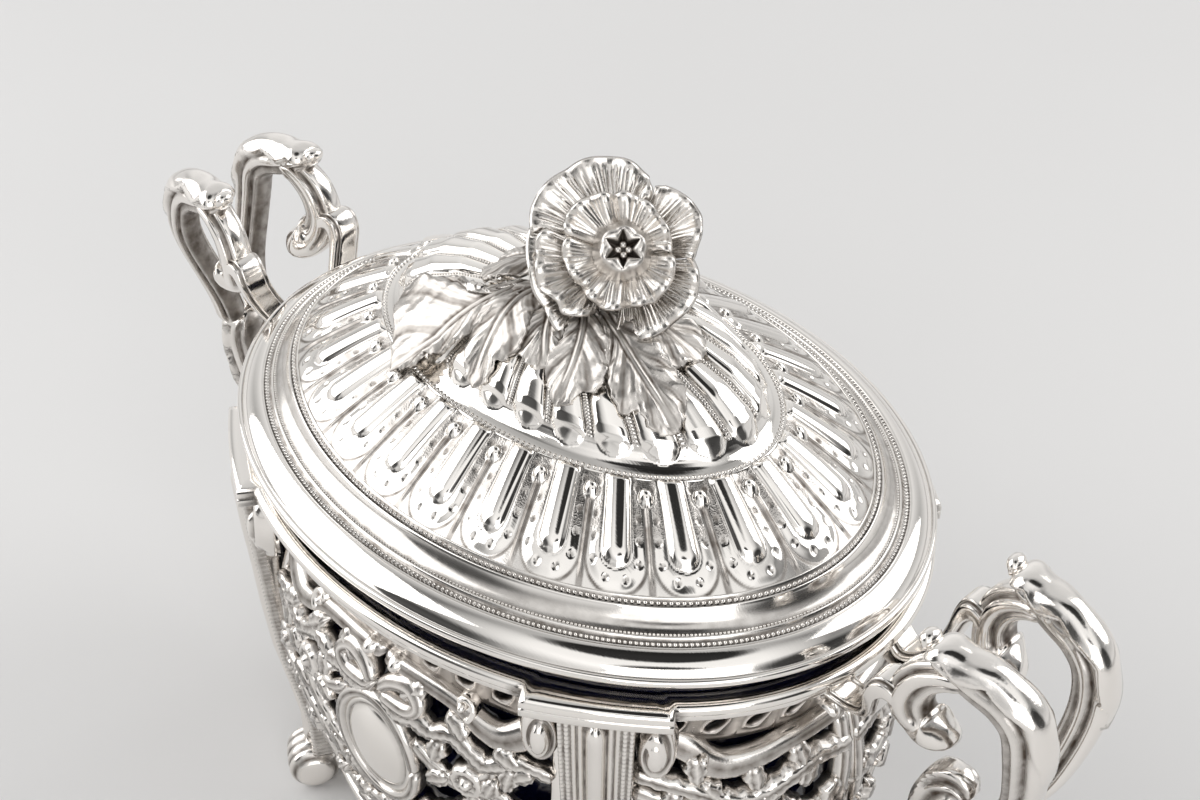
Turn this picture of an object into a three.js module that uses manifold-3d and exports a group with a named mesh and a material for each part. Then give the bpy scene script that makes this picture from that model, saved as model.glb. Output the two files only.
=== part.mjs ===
// Covered oval sugar bowl: an openwork silver frame on four scroll feet, a blue glass liner
// that lifts out of it, and a domed silver lid with a flower finial.
// Millimetres, +Z up, +X along the length, origin on the table under the middle of the bowl.
import * as THREE from 'three';
import { mergeVertices } from 'three/addons/utils/BufferGeometryUtils.js';
import { TessellateModifier } from 'three/addons/modifiers/TessellateModifier.js';
import Module from 'manifold-3d';

const wasm = await Module();
wasm.setup();

// Oval plan: every ring is an oval set in from the lid's edge by a stated inset
const lidHalfLength = 68;
const lidHalfWidth = 52.6;
const domeHalfLength = 37;
const poleRadius = 8;
const ovalSteps = 40;

// Heights over the table
const feetTop = 10.7;
const baseTop = 18;
const bellyHeight = 55;
const friezeBottom = 71.6;
const rimTop = 88.4;
const rimHeight = 4.2;

// Sheet and casting thicknesses
const rimSheet = 1.8;
const friezeSheet = 1.3;
const wallSheet = 1.5;
const lidSheet = 1.3;
const glassWall = 2.6;
const bezelSheet = 1.1;

// Gaps between pieces that are soldered, screwed or rest on each other
const seat = 0.3;
const linerPlay = 0.6;
const bezelPlay = 0.7;

// Insets of the body from the lid's edge
const rimInset = -0.4;
const rimInnerInset = 9;
const bellyInset = 3.8;
const neckInset = 7;
const footInset = 10.9;
const baseInset = 10.3;

// Break-fronts of the rim, one over each leg: middle of the outer edge, and the way it faces
const tabMiddle = new THREE.Vector2(0.6544 * lidHalfLength, 0.7947 * lidHalfWidth);
const tabTurn = THREE.MathUtils.degToRad(55);
const tabWidth = 24.4;
const tabDepth = 7;
const tabBow = 0.6;

// Narrow band under the rim plate, and how far in the frieze and the legs start behind it
const bandInset = rimInset + 1.1;
const bandSheet = 3.5;
const friezeTopInset = rimInset + 3.4;

// Point of the oval family
function halfWidthAt(halfLength) {
  const difference = lidHalfLength - lidHalfWidth;
  if (halfLength <= poleRadius) return halfLength;
  if (halfLength >= domeHalfLength) return halfLength - difference;
  const domeHalfWidth = domeHalfLength - difference;
  return THREE.MathUtils.mapLinear(halfLength, poleRadius, domeHalfLength, poleRadius, domeHalfWidth);
}

function ovalPoint(turn, inset, height) {
  const halfLength = lidHalfLength - inset;
  return new THREE.Vector3(halfLength * Math.cos(turn), halfWidthAt(halfLength) * Math.sin(turn), height);
}

// Inset of the oval that passes through a point of the plan
function insetAt(x, y) {
  let low = 0.01;
  let high = 2 * lidHalfLength;
  for (let i = 0; i < 40; i++) {
    const middle = (low + high) / 2;
    if (Math.hypot(x / middle, y / halfWidthAt(middle)) > 1) low = middle;
    else high = middle;
  }
  return lidHalfLength - low;
}

// Distance from the axis to the oval's tangent line that faces the given way
function reachOf(turn, inset) {
  const halfLength = lidHalfLength - inset;
  return Math.hypot(halfLength * Math.cos(turn), halfWidthAt(halfLength) * Math.sin(turn));
}

// Solids: closed geometry to a solid and back
function solidOf(geometry) {
  const bare = geometry.index ? geometry.toNonIndexed() : geometry.clone();
  for (const name of Object.keys(bare.attributes)) {
    if (name !== 'position') bare.deleteAttribute(name);
  }
  const merged = mergeVertices(bare, 1e-3);
  const vertProperties = merged.attributes.position.array;
  const corners = merged.index.array;
  const kept = [];
  let volume = 0;
  for (let i = 0; i < corners.length; i += 3) {
    const [a, b, c] = corners.slice(i, i + 3);
    if (a === b || b === c || c === a) continue;
    kept.push([a, b, c]);
    const [p, q, r] = [a, b, c].map(k => new THREE.Vector3().fromArray(vertProperties, 3 * k));
    volume += p.dot(q.cross(r));
  }
  const triVerts = new Uint32Array(kept.flatMap(([a, b, c]) => (volume > 0 ? [a, b, c] : [a, c, b])));
  return new wasm.Manifold(new wasm.Mesh({ numProp: 3, vertProperties, triVerts }));
}

function geometryOf(solid) {
  const { vertProperties, triVerts } = solid.getMesh();
  const geometry = new THREE.BufferGeometry();
  geometry.setAttribute('position', new THREE.BufferAttribute(vertProperties, 3));
  geometry.setIndex(new THREE.BufferAttribute(triVerts, 1));
  return geometry;
}

function joined(solids) {
  return solids.reduce((whole, next) => whole.add(next));
}

// Moves every point of a geometry by a function of its place
function bent(geometry, place) {
  const result = geometry.index ? geometry.toNonIndexed() : geometry.clone();
  const position = result.attributes.position;
  for (let i = 0; i < position.count; i++) {
    const to = place(position.getX(i), position.getY(i), position.getZ(i));
    position.setXYZ(i, to.x, to.y, to.z);
  }
  return result;
}

function mirrored(geometry, alongX, alongY) {
  return bent(geometry, (x, y, z) => new THREE.Vector3(alongX * x, alongY * y, z));
}

// Turned piece with an oval plan: the profile is a list of [inset, height]
function ovalLathe(profile) {
  const points = profile.map(([inset, height]) => new THREE.Vector2(lidHalfLength - inset, height));
  const lathe = new THREE.LatheGeometry([...points, points[0]], ovalSteps).rotateX(Math.PI / 2);
  return solidOf(bent(lathe, (x, y, z) => {
    const radius = Math.hypot(x, y);
    const squeeze = radius > 0 ? halfWidthAt(radius) / radius : 1;
    return new THREE.Vector3(x, y * squeeze, z);
  }));
}

// Round turned piece: the profile is a list of [radius, height] from axis to axis, or a closed ring
function turned(profile, steps) {
  const points = profile.map(([radius, height]) => new THREE.Vector2(radius, height));
  return new THREE.LatheGeometry([...points, points[0]], steps).rotateX(Math.PI / 2);
}

// Flat bar whose middle line runs through points [x, y, width]
function bar(line, thickness, samples, bevel = 0) {
  const middle = new THREE.SplineCurve(line.map(([x, y]) => new THREE.Vector2(x, y)));
  const left = [];
  const right = [];
  for (let i = 0; i <= samples; i++) {
    const t = i / samples;
    const place = t * (line.length - 1);
    const before = Math.min(Math.floor(place), line.length - 2);
    const width = THREE.MathUtils.lerp(line[before][2], line[before + 1][2], place - before);
    const along = middle.getTangent(t);
    const side = new THREE.Vector2(-along.y, along.x).multiplyScalar(width / 2);
    left.push(middle.getPoint(t).add(side));
    right.unshift(middle.getPoint(t).sub(side));
  }
  return extruded(new THREE.Shape([...left, ...right]), thickness, bevel);
}

// Extruded outline, centred on its own plane when it is bevelled
function extruded(shape, thickness, bevel = 0) {
  const geometry = new THREE.ExtrudeGeometry(shape, {
    depth: thickness - 2 * bevel,
    bevelEnabled: bevel > 0,
    bevelSize: bevel,
    bevelThickness: bevel,
    bevelOffset: -bevel,
    bevelSegments: 1,
    curveSegments: 6,
  });
  return bevel > 0 ? geometry.translate(0, 0, bevel) : geometry;
}

// Sets the middle of an extruded piece's thickness on its drawing plane
function centred(geometry, thickness) {
  return geometry.translate(0, 0, -thickness / 2);
}

function ellipse(x, y, halfWidth, halfHeight, points) {
  const outline = [];
  for (let i = 0; i < points; i++) {
    const turn = (2 * Math.PI * i) / points;
    outline.push(new THREE.Vector2(x + halfWidth * Math.cos(turn), y + halfHeight * Math.sin(turn)));
  }
  return new THREE.Shape(outline);
}

// Materials
const silver = { color: 0xd9d6d0, roughness: 0.16, metalness: 1 };
const darkSilver = { color: 0xb5aea6, roughness: 0.3, metalness: 1 };
const cobaltGlass = { color: 0x0b1240, roughness: 0.05, metalness: 0 };
const brass = { color: 0xc9a35c, roughness: 0.35, metalness: 1 };

const bowl = new THREE.Group();
bowl.name = 'covered_sugar_bowl';

function addPiece(name, solid, look) {
  const mesh = new THREE.Mesh(geometryOf(solid), new THREE.MeshStandardMaterial(look));
  mesh.name = name;
  bowl.add(mesh);
  return mesh;
}

// Wall of the body: how far in its outer face lies at a height
function wallInset(height) {
  const above = height > bellyHeight;
  const end = above ? friezeBottom : baseTop;
  const deepest = above ? neckInset : footInset;
  const share = (height - bellyHeight) / (end - bellyHeight);
  return bellyInset + (deepest - bellyInset) * share * share;
}

// Turn of an oval at a distance along it, from the middle of the right end
const wallTurns = 720;
function lengthsAt(inset) {
  const lengths = [0];
  for (let i = 1; i <= wallTurns; i++) {
    const from = ovalPoint((2 * Math.PI * (i - 1)) / wallTurns, inset, 0);
    const to = ovalPoint((2 * Math.PI * i) / wallTurns, inset, 0);
    lengths.push(lengths[i - 1] + from.distanceTo(to));
  }
  return lengths;
}
const wallLengths = lengthsAt(bellyInset);
const wallLength = wallLengths[wallTurns];

function turnAlong(distance, lengths = wallLengths) {
  const whole = lengths[wallTurns];
  const wanted = ((distance % whole) + whole) % whole;
  const i = Math.min(lengths.findIndex(length => length > wanted), wallTurns) || 1;
  const share = (wanted - lengths[i - 1]) / (lengths[i] - lengths[i - 1]);
  return (2 * Math.PI * (i - 1 + share)) / wallTurns;
}

function distanceAt(turn) {
  return wallLengths[Math.round((turn * wallTurns) / (2 * Math.PI))];
}

// Lays a flat piece (x along the wall, y up, z outwards) on the wall's inner face
function onWall(geometry, middle) {
  return bent(geometry, (x, y, z) => ovalPoint(turnAlong(middle + x), wallInset(y) + wallSheet - z, y));
}

const legTurn = Math.atan2(tabMiddle.y / lidHalfWidth, tabMiddle.x / lidHalfLength);
const legDistance = distanceAt(legTurn);
const endHalf = legDistance;
const sideHalf = wallLength / 4 - legDistance;

// Rim: flat oval plate with a narrow band below it and four break-fronts
function rimFrame() {
  const under = rimTop - rimSheet;
  const bottom = rimTop - rimHeight;
  const ring = ovalLathe([
    [rimInset, rimTop],
    [rimInset, under + rimSheet / 3],
    [rimInset + rimSheet * 0.4, under],
    [bandInset, bottom],
    [bandInset + bandSheet, bottom],
    [bandInset + bandSheet, under],
    [rimInnerInset, under],
    [rimInnerInset, rimTop],
  ]);
  const outline = new THREE.Shape();
  outline.moveTo(-tabDepth, -tabWidth / 2);
  outline.lineTo(0, -tabWidth / 2);
  outline.quadraticCurveTo(2 * tabBow, 0, 0, tabWidth / 2);
  outline.lineTo(-tabDepth, tabWidth / 2);
  const tab = extruded(outline, rimHeight)
    .rotateZ(tabTurn)
    .translate(tabMiddle.x, tabMiddle.y, bottom);
  const tabs = [[1, 1], [-1, 1], [-1, -1], [1, -1]].map(([x, y]) => solidOf(mirrored(tab, x, y)));
  return joined([ring, ...tabs]);
}

// Frieze under the rim: a concave band pierced with slanting oval holes between the legs
const friezeHoles = 48;
const friezeHoleHeight = 76.4;
const friezeHoleHalfWidth = 1.35;
const friezeHoleHalfHeight = 2.3;
const friezeHoleLean = 0.6;
const friezeHollow = 0.4;
const cutDepth = 7;
function friezeBand() {
  const top = rimTop - rimHeight - seat;
  const face = [
    [friezeTopInset, top],
    [neckInset + friezeHollow, friezeHoleHeight - friezeHoleHalfHeight - friezeHollow],
    [neckInset, friezeBottom],
  ];
  const back = face.map(([inset, height]) => [inset + friezeSheet, height]).reverse();
  let band = ovalLathe([...face, ...back]);
  const hidden = tabWidth / 2 + 1;
  const pitch = wallLength / friezeHoles;
  for (let i = 0; i < friezeHoles; i++) {
    const along = (i + 0.5) * pitch;
    const quarter = Math.abs(((along + wallLength / 4) % (wallLength / 2)) - wallLength / 4);
    if (Math.abs(quarter - legDistance) < hidden) continue;
    const turn = turnAlong(along);
    const place = ovalPoint(turn, neckInset + friezeSheet / 2, friezeHoleHeight);
    const facing = Math.atan2(Math.sin(turn) / lidHalfWidth, Math.cos(turn) / lidHalfLength);
    const hole = extruded(ellipse(0, 0, friezeHoleHalfWidth, friezeHoleHalfHeight, 6), cutDepth)
      .translate(0, 0, -cutDepth / 2)
      .rotateZ(-friezeHoleLean)
      .rotateX(Math.PI / 2)
      .rotateZ(facing + Math.PI / 2)
      .translate(place.x, place.y, place.z);
    band = band.subtract(solidOf(hole));
  }
  return band;
}

// Openwork panels: a bent sheet cut through by windows between its scrolls, ribbons and garlands.
// One half's windows are drawn as [distance from the middle, height], on a sheet of the drawn size.
const panelTop = friezeBottom - seat;
const panelBottom = baseTop + seat;
const drawnTop = 71.3;
const drawnBottom = 18.3;
const sideDrawnHalf = 41.5;
const endDrawnHalf = 46;
const bendStep = 11;
const sideWindows = [
  [[5, 67.2], [12, 69], [19, 67], [20, 65], [17, 65.8], [11, 63.4]],
  [[22, 64], [27, 64.6], [35, 68], [35, 65.5], [30, 65.4], [24, 62.8]],
  [[9.4, 60.6], [17, 62], [23, 58.9], [19, 58.4], [16, 55.8], [12, 58.6]],
  [[25.5, 58.6], [30, 61.4], [35, 60.4], [35, 53], [28, 56.4]],
  [[10.8, 54], [15, 51], [20, 51.2], [16, 46], [10.4, 45]],
  [[23, 52], [28, 51.6], [35, 47.6], [27, 43.8], [19, 40], [18, 43]],
  [[2.5, 36], [9, 33], [17, 34], [34, 42], [34, 39.5], [24, 31.6], [16, 28.6], [8, 30]],
  [[3, 28], [8, 25], [15, 23], [15, 21.5], [3, 21.5]],
  [[18, 21.5], [18, 23], [25, 26.5], [31, 32], [35, 35], [35, 21.5]],
];
const endWindows = [
  [[3.5, 68.9], [11, 69], [18, 66.2], [14, 64.8], [8, 67.2]],
  [[17, 64.4], [24, 64.4], [31, 66.4], [39, 69.4], [39, 67], [31, 63], [22, 61.8]],
  [[3.5, 62.6], [7, 62.8], [20, 56.8], [15, 55], [9, 55.6], [3.5, 54.4]],
  [[23, 56.2], [31, 58], [39, 61], [39, 55.5], [32, 49.4], [25, 49.4]],
  [[6, 50], [13, 50], [20, 46], [17, 38.5], [10, 38], [6.5, 41]],
  [[22.5, 44.5], [33, 44.5], [39, 49], [39, 45.6], [30, 41], [21.5, 38]],
  [[3.5, 35.8], [10, 32.2], [21, 33], [39, 40.8], [39, 35], [27, 29.8], [19, 27.4], [10, 28.6]],
  [[3.5, 27.6], [10, 24.4], [16, 22.8], [16, 21.5], [3.5, 21.5]],
  [[20, 21.5], [20, 23], [34, 29], [39, 30.6], [39, 21.5]],
];

function panel(windows, drawnHalf, half, middle) {
  const width = 2 * half - seat;
  const height = panelTop - panelBottom;
  const across = Math.round(width / bendStep);
  const sheet = new THREE.BoxGeometry(width, height, wallSheet, across, 4, 1)
    .translate(0, panelBottom + height / 2, wallSheet / 2);
  const holes = [];
  for (const hand of [-1, 1]) {
    for (const corners of windows) {
      const outline = corners.map(([along, up]) => new THREE.Vector2(
        (hand * along * half) / drawnHalf,
        THREE.MathUtils.mapLinear(up, drawnBottom, drawnTop, panelBottom, panelTop),
      ));
      const cutter = extruded(new THREE.Shape(outline), cutDepth).translate(0, 0, (wallSheet - cutDepth) / 2);
      holes.push(solidOf(onWall(cutter, middle)));
    }
  }
  return solidOf(onWall(sheet, middle)).subtract(joined(holes));
}

// Oval medallion in the middle of each long side: a moulded frame round a smooth boss
const medallionHeight = 51;
const medallionHalfWidth = 8.2;
const medallionHalfHeight = 10.8;
function medallion(middle) {
  const rim = medallionHalfWidth;
  const flat = turned([
    [0, 0],
    [rim, 0],
    [rim, 0.9],
    [rim - 0.8, 1.9],
    [rim - 1.9, 1.2],
    [rim - 2.4, 1.3],
    [rim / 3, 2.6],
    [0, 2.9],
  ], 20);
  const oval = bent(flat, (x, y, z) => new THREE.Vector3(
    x,
    medallionHeight + (y * medallionHalfHeight) / medallionHalfWidth,
    z + wallSheet + seat,
  ));
  return solidOf(onWall(oval, middle));
}

// Base: a moulded band with a ledge, and the plate that lies on the ledge
const ledgeTop = 12.2;
const baseBandInner = 12.5;
const basePlateSheet = 1.1;
function baseBand() {
  return ovalLathe([
    [baseInset, feetTop],
    [baseInset, feetTop + 1.4],
    [baseInset + 0.9, feetTop + 2.2],
    [baseInset + 0.9, baseTop - 1.6],
    [baseInset + 0.3, baseTop],
    [baseBandInner, baseTop],
    [baseBandInner, ledgeTop],
    [baseBandInner + 3.6, ledgeTop],
    [baseBandInner + 3.6, feetTop],
  ]);
}

function basePlate() {
  const under = ledgeTop + seat;
  const edge = baseBandInner + seat;
  return ovalLathe([
    [lidHalfLength, under],
    [edge, under],
    [edge, under + basePlateSheet],
    [lidHalfLength, under + basePlateSheet],
  ]);
}

// Legs: an applied bracket up the wall with a volute on each side at the top and a scroll foot.
// The face is drawn as [distance out from the belly, share of the height under the rim].
const legFace = [
  [4.85, 1], [4.65, 0.942], [4.05, 0.834], [3.05, 0.715], [2.25, 0.596], [0.85, 0.453], [-1.35, 0.322],
  [-2.95, 0.2145],
];
const legWidth = 12.6;
const legFootWidth = 9.6;
const footRadius = 5.3;
const footWidth = 11.6;
const footIn = 2.95;
const footFlat = 0.6;
const footEdge = 0.8;
const voluteHalfWidth = 3.4;
const voluteHalfHeight = 7;
const voluteOut = 9.4;
const voluteThickness = 4.6;
const voluteEdge = 0.9;

function leg() {
  const top = rimTop - rimHeight - seat;
  const belly = reachOf(tabTurn, bellyInset);
  const behindRim = reachOf(tabTurn, friezeTopInset) + seat;
  const outline = legFace.map(([out, share]) => [belly + out, share * top]);
  const footTop = footRadius * 1.6;
  const footReach = belly - footIn;
  outline.push([footReach + 1.5, footTop], [footReach - 3, footTop], [footReach - 3.4, feetTop - seat]);
  const behindBase = reachOf(tabTurn, baseInset) + seat;
  outline.push([behindBase, feetTop - seat], [behindBase, baseTop]);
  const wallSteps = 7;
  for (let i = 0; i <= wallSteps; i++) {
    const height = THREE.MathUtils.lerp(panelBottom + 1, panelTop, i / wallSteps);
    outline.push([reachOf(tabTurn, wallInset(height)) + seat, height]);
  }
  outline.push([behindRim, top - rimHeight], [behindRim, top]);
  const side = new THREE.Shape(outline.map(([out, height]) => new THREE.Vector2(out, height)));
  // Outline plane is outwards by up; its thickness becomes the leg's width, narrower lower down
  const shank = bent(extruded(side, legWidth).translate(0, 0, -legWidth / 2), (out, height, along) => {
    const narrow = THREE.MathUtils.mapLinear(height, 0, top, legFootWidth / legWidth, 1);
    return new THREE.Vector3(out, along * narrow, height);
  });
  const scroll = ellipse(footReach, footRadius - footFlat, footRadius, footRadius, 16);
  const foot = extruded(scroll, footWidth, footEdge).translate(0, 0, -footWidth / 2);
  const footUp = bent(foot, (out, height, along) => new THREE.Vector3(out, along, Math.max(height, 0)));
  const pieces = [solidOf(shank), solidOf(footUp)];
  for (const hand of [-1, 1]) {
    const middle = top - voluteHalfHeight;
    const oval = ellipse(hand * voluteOut, middle, voluteHalfWidth, voluteHalfHeight, 12);
    const disc = extruded(oval, voluteThickness, voluteEdge);
    const facingOut = bent(disc, (along, height, out) => new THREE.Vector3(behindRim + out, along, height));
    pieces.push(solidOf(facingOut));
  }
  const along = new THREE.Vector2(-Math.sin(tabTurn), Math.cos(tabTurn));
  const sideways = tabMiddle.dot(along);
  return geometryOf(joined(pieces)).translate(0, sideways, 0).rotateZ(tabTurn);
}

// Handles: two branches at each end, spreading from a leafy scroll in the middle.
// Their lines are drawn as [distance beyond the lid's end, height over the rim, width].
const branchThickness = 6.4;
const branchEdge = 1.1;
const branchSpread = 12.74;
const branchDraw = 0.12;
const branchFoot = -16.4;
const branchFree = 7.6;
const archLine = [
  [14.6, 19.6, 2.8], [19, 18, 5.4], [23.5, 17.4, 8.2], [28.4, 15.8, 8.6], [31.6, 11.8, 8], [33, 5.6, 7],
  [32.6, -0.9, 6.3], [31, -8.4, 5.6], [28, branchFoot, 4.6],
];
const curlLine = [[20.5, 16.2, 5], [16, 13.2, 6], [13.4, 9, 6.6], [13.4, 4.4, 7], [16.4, 1.4, 7.6]];
const armLine = [
  [11.5, 4.4, 4.6], [8, 4.6, 5], [6.6, 0.2, 4.6], [4.8, -5, 4.6], [1.4, -7.6, 4.6], [-2.5, -8, 4.2],
  [-5.6, -7.8, 3.6],
];
const armThickness = 5.4;
const branchBall = [16.2, 1.8, 4.6];
const ballThickness = 7.8;

// Point of a handle from its drawn place and its place across the bowl
function atHandle(out, up, across) {
  return new THREE.Vector3(lidHalfLength + out, across, rimTop + up);
}

function branch() {
  const straight = out => branchSpread - branchDraw * out;
  const upright = (out, up, thick) => atHandle(out, up, straight(out) + thick);
  const drawnIn = (out, up, thick) => {
    const share = THREE.MathUtils.smoothstep(up, branchFoot, branchFree);
    const foot = branchThickness / 2 + seat;
    return atHandle(out, up, THREE.MathUtils.lerp(foot, straight(out), share) + thick);
  };
  const [ballOut, ballUp, ballRadius] = branchBall;
  const round = ellipse(ballOut, ballUp, ballRadius, ballRadius, 10);
  return geometryOf(joined([
    solidOf(bent(centred(bar(archLine, branchThickness, 11, branchEdge), branchThickness), drawnIn)),
    solidOf(bent(centred(bar(curlLine, branchThickness, 4, branchEdge), branchThickness), upright)),
    solidOf(bent(centred(extruded(round, ballThickness, branchEdge), ballThickness), upright)),
    solidOf(bent(centred(bar(armLine, armThickness, 8, branchEdge), armThickness), upright)),
  ]));
}

const scrollThickness = 9;
const scrollEdge = 1.4;
const scrollLine = [
  [26.6, branchFoot - 1.6, 6], [28.2, -24.4, 7.6], [25.8, -32.4, 8], [20, -38.8, 7.4], [12, -42.8, 6.4],
  [4, -43.8, 6], [-3.4, -42.4, 7.4],
];
const scrollCurl = [[22, -36.4, 5], [16.6, -31, 6.4], [14.4, -24.8, 7.2], [16, -20.4, 6.6]];
const scrollBall = [18, -19.8, 3.8];

function handleScroll() {
  const [ballOut, ballUp, ballRadius] = scrollBall;
  const pieces = [
    bar(scrollLine, scrollThickness, 11, scrollEdge),
    bar(scrollCurl, scrollThickness, 6, scrollEdge),
    extruded(ellipse(ballOut, ballUp, ballRadius, ballRadius, 14), scrollThickness, scrollEdge),
  ];
  return geometryOf(joined(pieces.map(piece => solidOf(bent(centred(piece, scrollThickness), atHandle)))));
}

// Glass liner: a plain oval cup whose lip rests on the rim
const lipHeight = 2.7;
const lipInset = rimInset + 5.4;
const linerInset = rimInnerInset + linerPlay;
const underLiner = 0.6;
const linerBottom = ledgeTop + seat + basePlateSheet + underLiner;
const lipTop = rimTop + seat + lipHeight;
function glassLiner() {
  const lipBottom = rimTop + seat;
  const inside = linerInset + glassWall;
  return ovalLathe([
    [lidHalfLength, linerBottom],
    [linerInset + 8, linerBottom],
    [linerInset + 4.4, linerBottom + 4.6],
    [linerInset, linerBottom + 18],
    [linerInset, lipBottom],
    [lipInset, lipBottom],
    [lipInset - 0.4, lipBottom + lipHeight / 2],
    [lipInset, lipTop],
    [inside, lipTop],
    [inside, linerBottom + 19],
    [inside + 4.4, linerBottom + glassWall + 4.4],
    [inside + 9, linerBottom + glassWall],
    [lidHalfLength, linerBottom + glassWall],
  ]);
}

// Lid: flange, cavetto, sloping band for the lobes, then the dome, with a hole for the finial
const lidOverBezel = 0.2;
const lidEdge = lipTop + seat + bezelSheet + lidOverBezel;
const studHole = 2.6;
const flangeRoll = 2.4;
const nutRadius = 4.6;
const nutHeight = 2.8;
const lidFace = [
  [1, lidEdge - 1],
  [0, lidEdge - 0.3],
  [0.2, lidEdge + 0.7],
  [2, lidEdge + 1.7],
  [5.4, lidEdge + 3.4],
  [6.6, lidEdge + 4],
  [10.4, lidEdge + 7.2],
  [11.6, lidEdge + 7.8],
  [27, lidEdge + 18],
  [29.6, lidEdge + 19],
  [33, lidEdge + 22.6],
  [37.4, lidEdge + 25.2],
  [44, lidEdge + 27.6],
  [53, lidEdge + 28.8],
  [lidHalfLength - studHole, lidEdge + 29.2],
];
const domeTop = lidFace[lidFace.length - 1][1];


// Height of the lid's plain face on the oval at an inset, and over a point of the plan
function lidHeightOn(inset) {
  const next = lidFace.findIndex(([at], i) => i > 1 && at > inset);
  if (next < 0) return domeTop;
  const [[a, low], [b, high]] = [lidFace[next - 1], lidFace[next]];
  return THREE.MathUtils.mapLinear(inset, a, b, low, high);
}

function lidHeightAt(x, y) {
  return lidHeightOn(insetAt(x, y));
}

// Chased ribs of the lid: flutes on the sloping band and gadroons on the dome. They stand at equal
// distances on one oval, shifted by a share of their pitch. A station is [inset, half width as a
// share of the pitch, rise over the plain face]
const fluteRise = 1.2;
const gadroonRise = 0.9;
const flutes = {
  count: 26,
  middle: 19,
  shift: -0.1,
  stations: [[13.9, 0.09, 0.4], [15.4, 0.22, fluteRise], [26.6, 0.22, fluteRise]],
};
const gadroons = {
  count: 24,
  middle: 33,
  shift: 0.14,
  stations: [
    [31.2, 0.28, 0.3],
    [33, 0.44, gadroonRise],
    [37.4, 0.45, gadroonRise],
    [44, 0.45, 0.8 * gadroonRise],
    [53, 0.4, 0.1],
  ],
};
const ribSection = [[-1, 0], [-0.68, 0.76], [0, 1], [0.68, 0.76], [1, 0]];
const ribSink = 0.5;

function lidRibs({ count, middle, shift, stations }) {
  const lengths = lengthsAt(middle);
  const pitch = lengths[wallTurns] / count;
  const across = ribSection.length;
  const solids = [];
  for (let k = 0; k < count; k++) {
    const points = stations.flatMap(([inset, half, rise]) => ribSection.map(([side, up]) => {
      const turn = turnAlong((k + shift + side * half) * pitch, lengths);
      return ovalPoint(turn, inset, lidHeightOn(inset) - ribSink + up * (rise + ribSink));
    }));
    const corners = [];
    for (let i = 0; i + 1 < stations.length; i++) {
      for (let j = 0; j < across; j++) {
        const [a, b] = [i * across + j, i * across + ((j + 1) % across)];
        corners.push(a, b, b + across, a, b + across, a + across);
      }
    }
    const last = (stations.length - 1) * across;
    for (let j = 1; j + 1 < across; j++) corners.push(0, j + 1, j, last, last + j, last + j + 1);
    const rib = new THREE.BufferGeometry().setFromPoints(points);
    rib.setIndex(corners);
    solids.push(solidOf(rib));
  }
  return solids;
}

function lidShell() {
  const nutSeat = domeTop - lidSheet;
  const inner = lidFace.filter((point, i) => i % 2 === 0 && i > 2 && i < lidFace.length - 1)
    .map(([inset, height]) => [inset + 0.4, height - lidSheet - 0.2]);
  const under = [
    [flangeRoll, lidEdge - 1],
    [flangeRoll, lidEdge + 0.3],
    ...inner,
    [lidHalfLength - nutRadius - 1, nutSeat],
    [lidHalfLength - studHole, nutSeat],
  ];
  const plain = ovalLathe([...lidFace, ...under.reverse()]);
  return joined([plain, ...lidRibs(flutes), ...lidRibs(gadroons)]);
}

// Under the flange: a flat ring that closes it and rests on the glass lip, and the bezel that
// hangs from the ring and reaches down inside the liner
const bezelDrop = 5.2;
const bezelInset = linerInset + glassWall + bezelPlay;
const ringUnder = lipTop + seat;
function lidSeatRing() {
  return ovalLathe([
    [flangeRoll + seat, ringUnder],
    [flangeRoll + seat, ringUnder + bezelSheet],
    [bezelInset + bezelSheet, ringUnder + bezelSheet],
    [bezelInset + bezelSheet, ringUnder],
  ]);
}

function lidBezel() {
  return ovalLathe([
    [bezelInset, ringUnder - bezelDrop],
    [bezelInset, ringUnder - seat],
    [bezelInset + bezelSheet, ringUnder - seat],
    [bezelInset + bezelSheet, ringUnder - bezelDrop],
  ]);
}

// Finial: flower head tilted on a short stem, with leaves spread over the dome
const flowerMiddle = new THREE.Vector3(9.3, 0.3, domeTop + 13.4);
const flowerTilt = THREE.MathUtils.degToRad(46);
const flowerTurn = THREE.MathUtils.degToRad(-45);
const studRadius = 1.9;
const shoulderRadius = 4.4;
const stemRadius = 2.3;

function inFlower(geometry) {
  return geometry
    .rotateY(flowerTilt)
    .rotateZ(flowerTurn)
    .translate(flowerMiddle.x, flowerMiddle.y, flowerMiddle.z);
}

function finialStem() {
  const shoulder = domeTop + seat;
  const post = solidOf(turned([
    [0, domeTop - lidSheet - 3.8],
    [studRadius, domeTop - lidSheet - 3.8],
    [studRadius, shoulder],
    [shoulderRadius, shoulder],
    [shoulderRadius, shoulder + 0.9],
    [stemRadius, shoulder + 2.2],
    [0, shoulder + 2.2],
  ], 12));
  const calyxFoot = new THREE.Vector3(0, 0, -6.6);
  const calyx = solidOf(inFlower(turned([[0, -7.6], [2.5, -7.4], [5.4, -4.7], [0, -4.7]], 12)));
  const end = inFlower(new THREE.BufferGeometry().setFromPoints([calyxFoot])).attributes.position;
  const path = new THREE.CatmullRomCurve3([
    new THREE.Vector3(0, 0, shoulder + 1),
    new THREE.Vector3(end.getX(0) * 0.4, end.getY(0) * 0.6, shoulder + 2.6),
    new THREE.Vector3(end.getX(0), end.getY(0), end.getZ(0)),
  ]);
  const neck = new THREE.ExtrudeGeometry(ellipse(0, 0, stemRadius, stemRadius, 8), {
    steps: 4,
    extrudePath: path,
  });
  return joined([post, solidOf(neck), calyx]);
}

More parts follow.
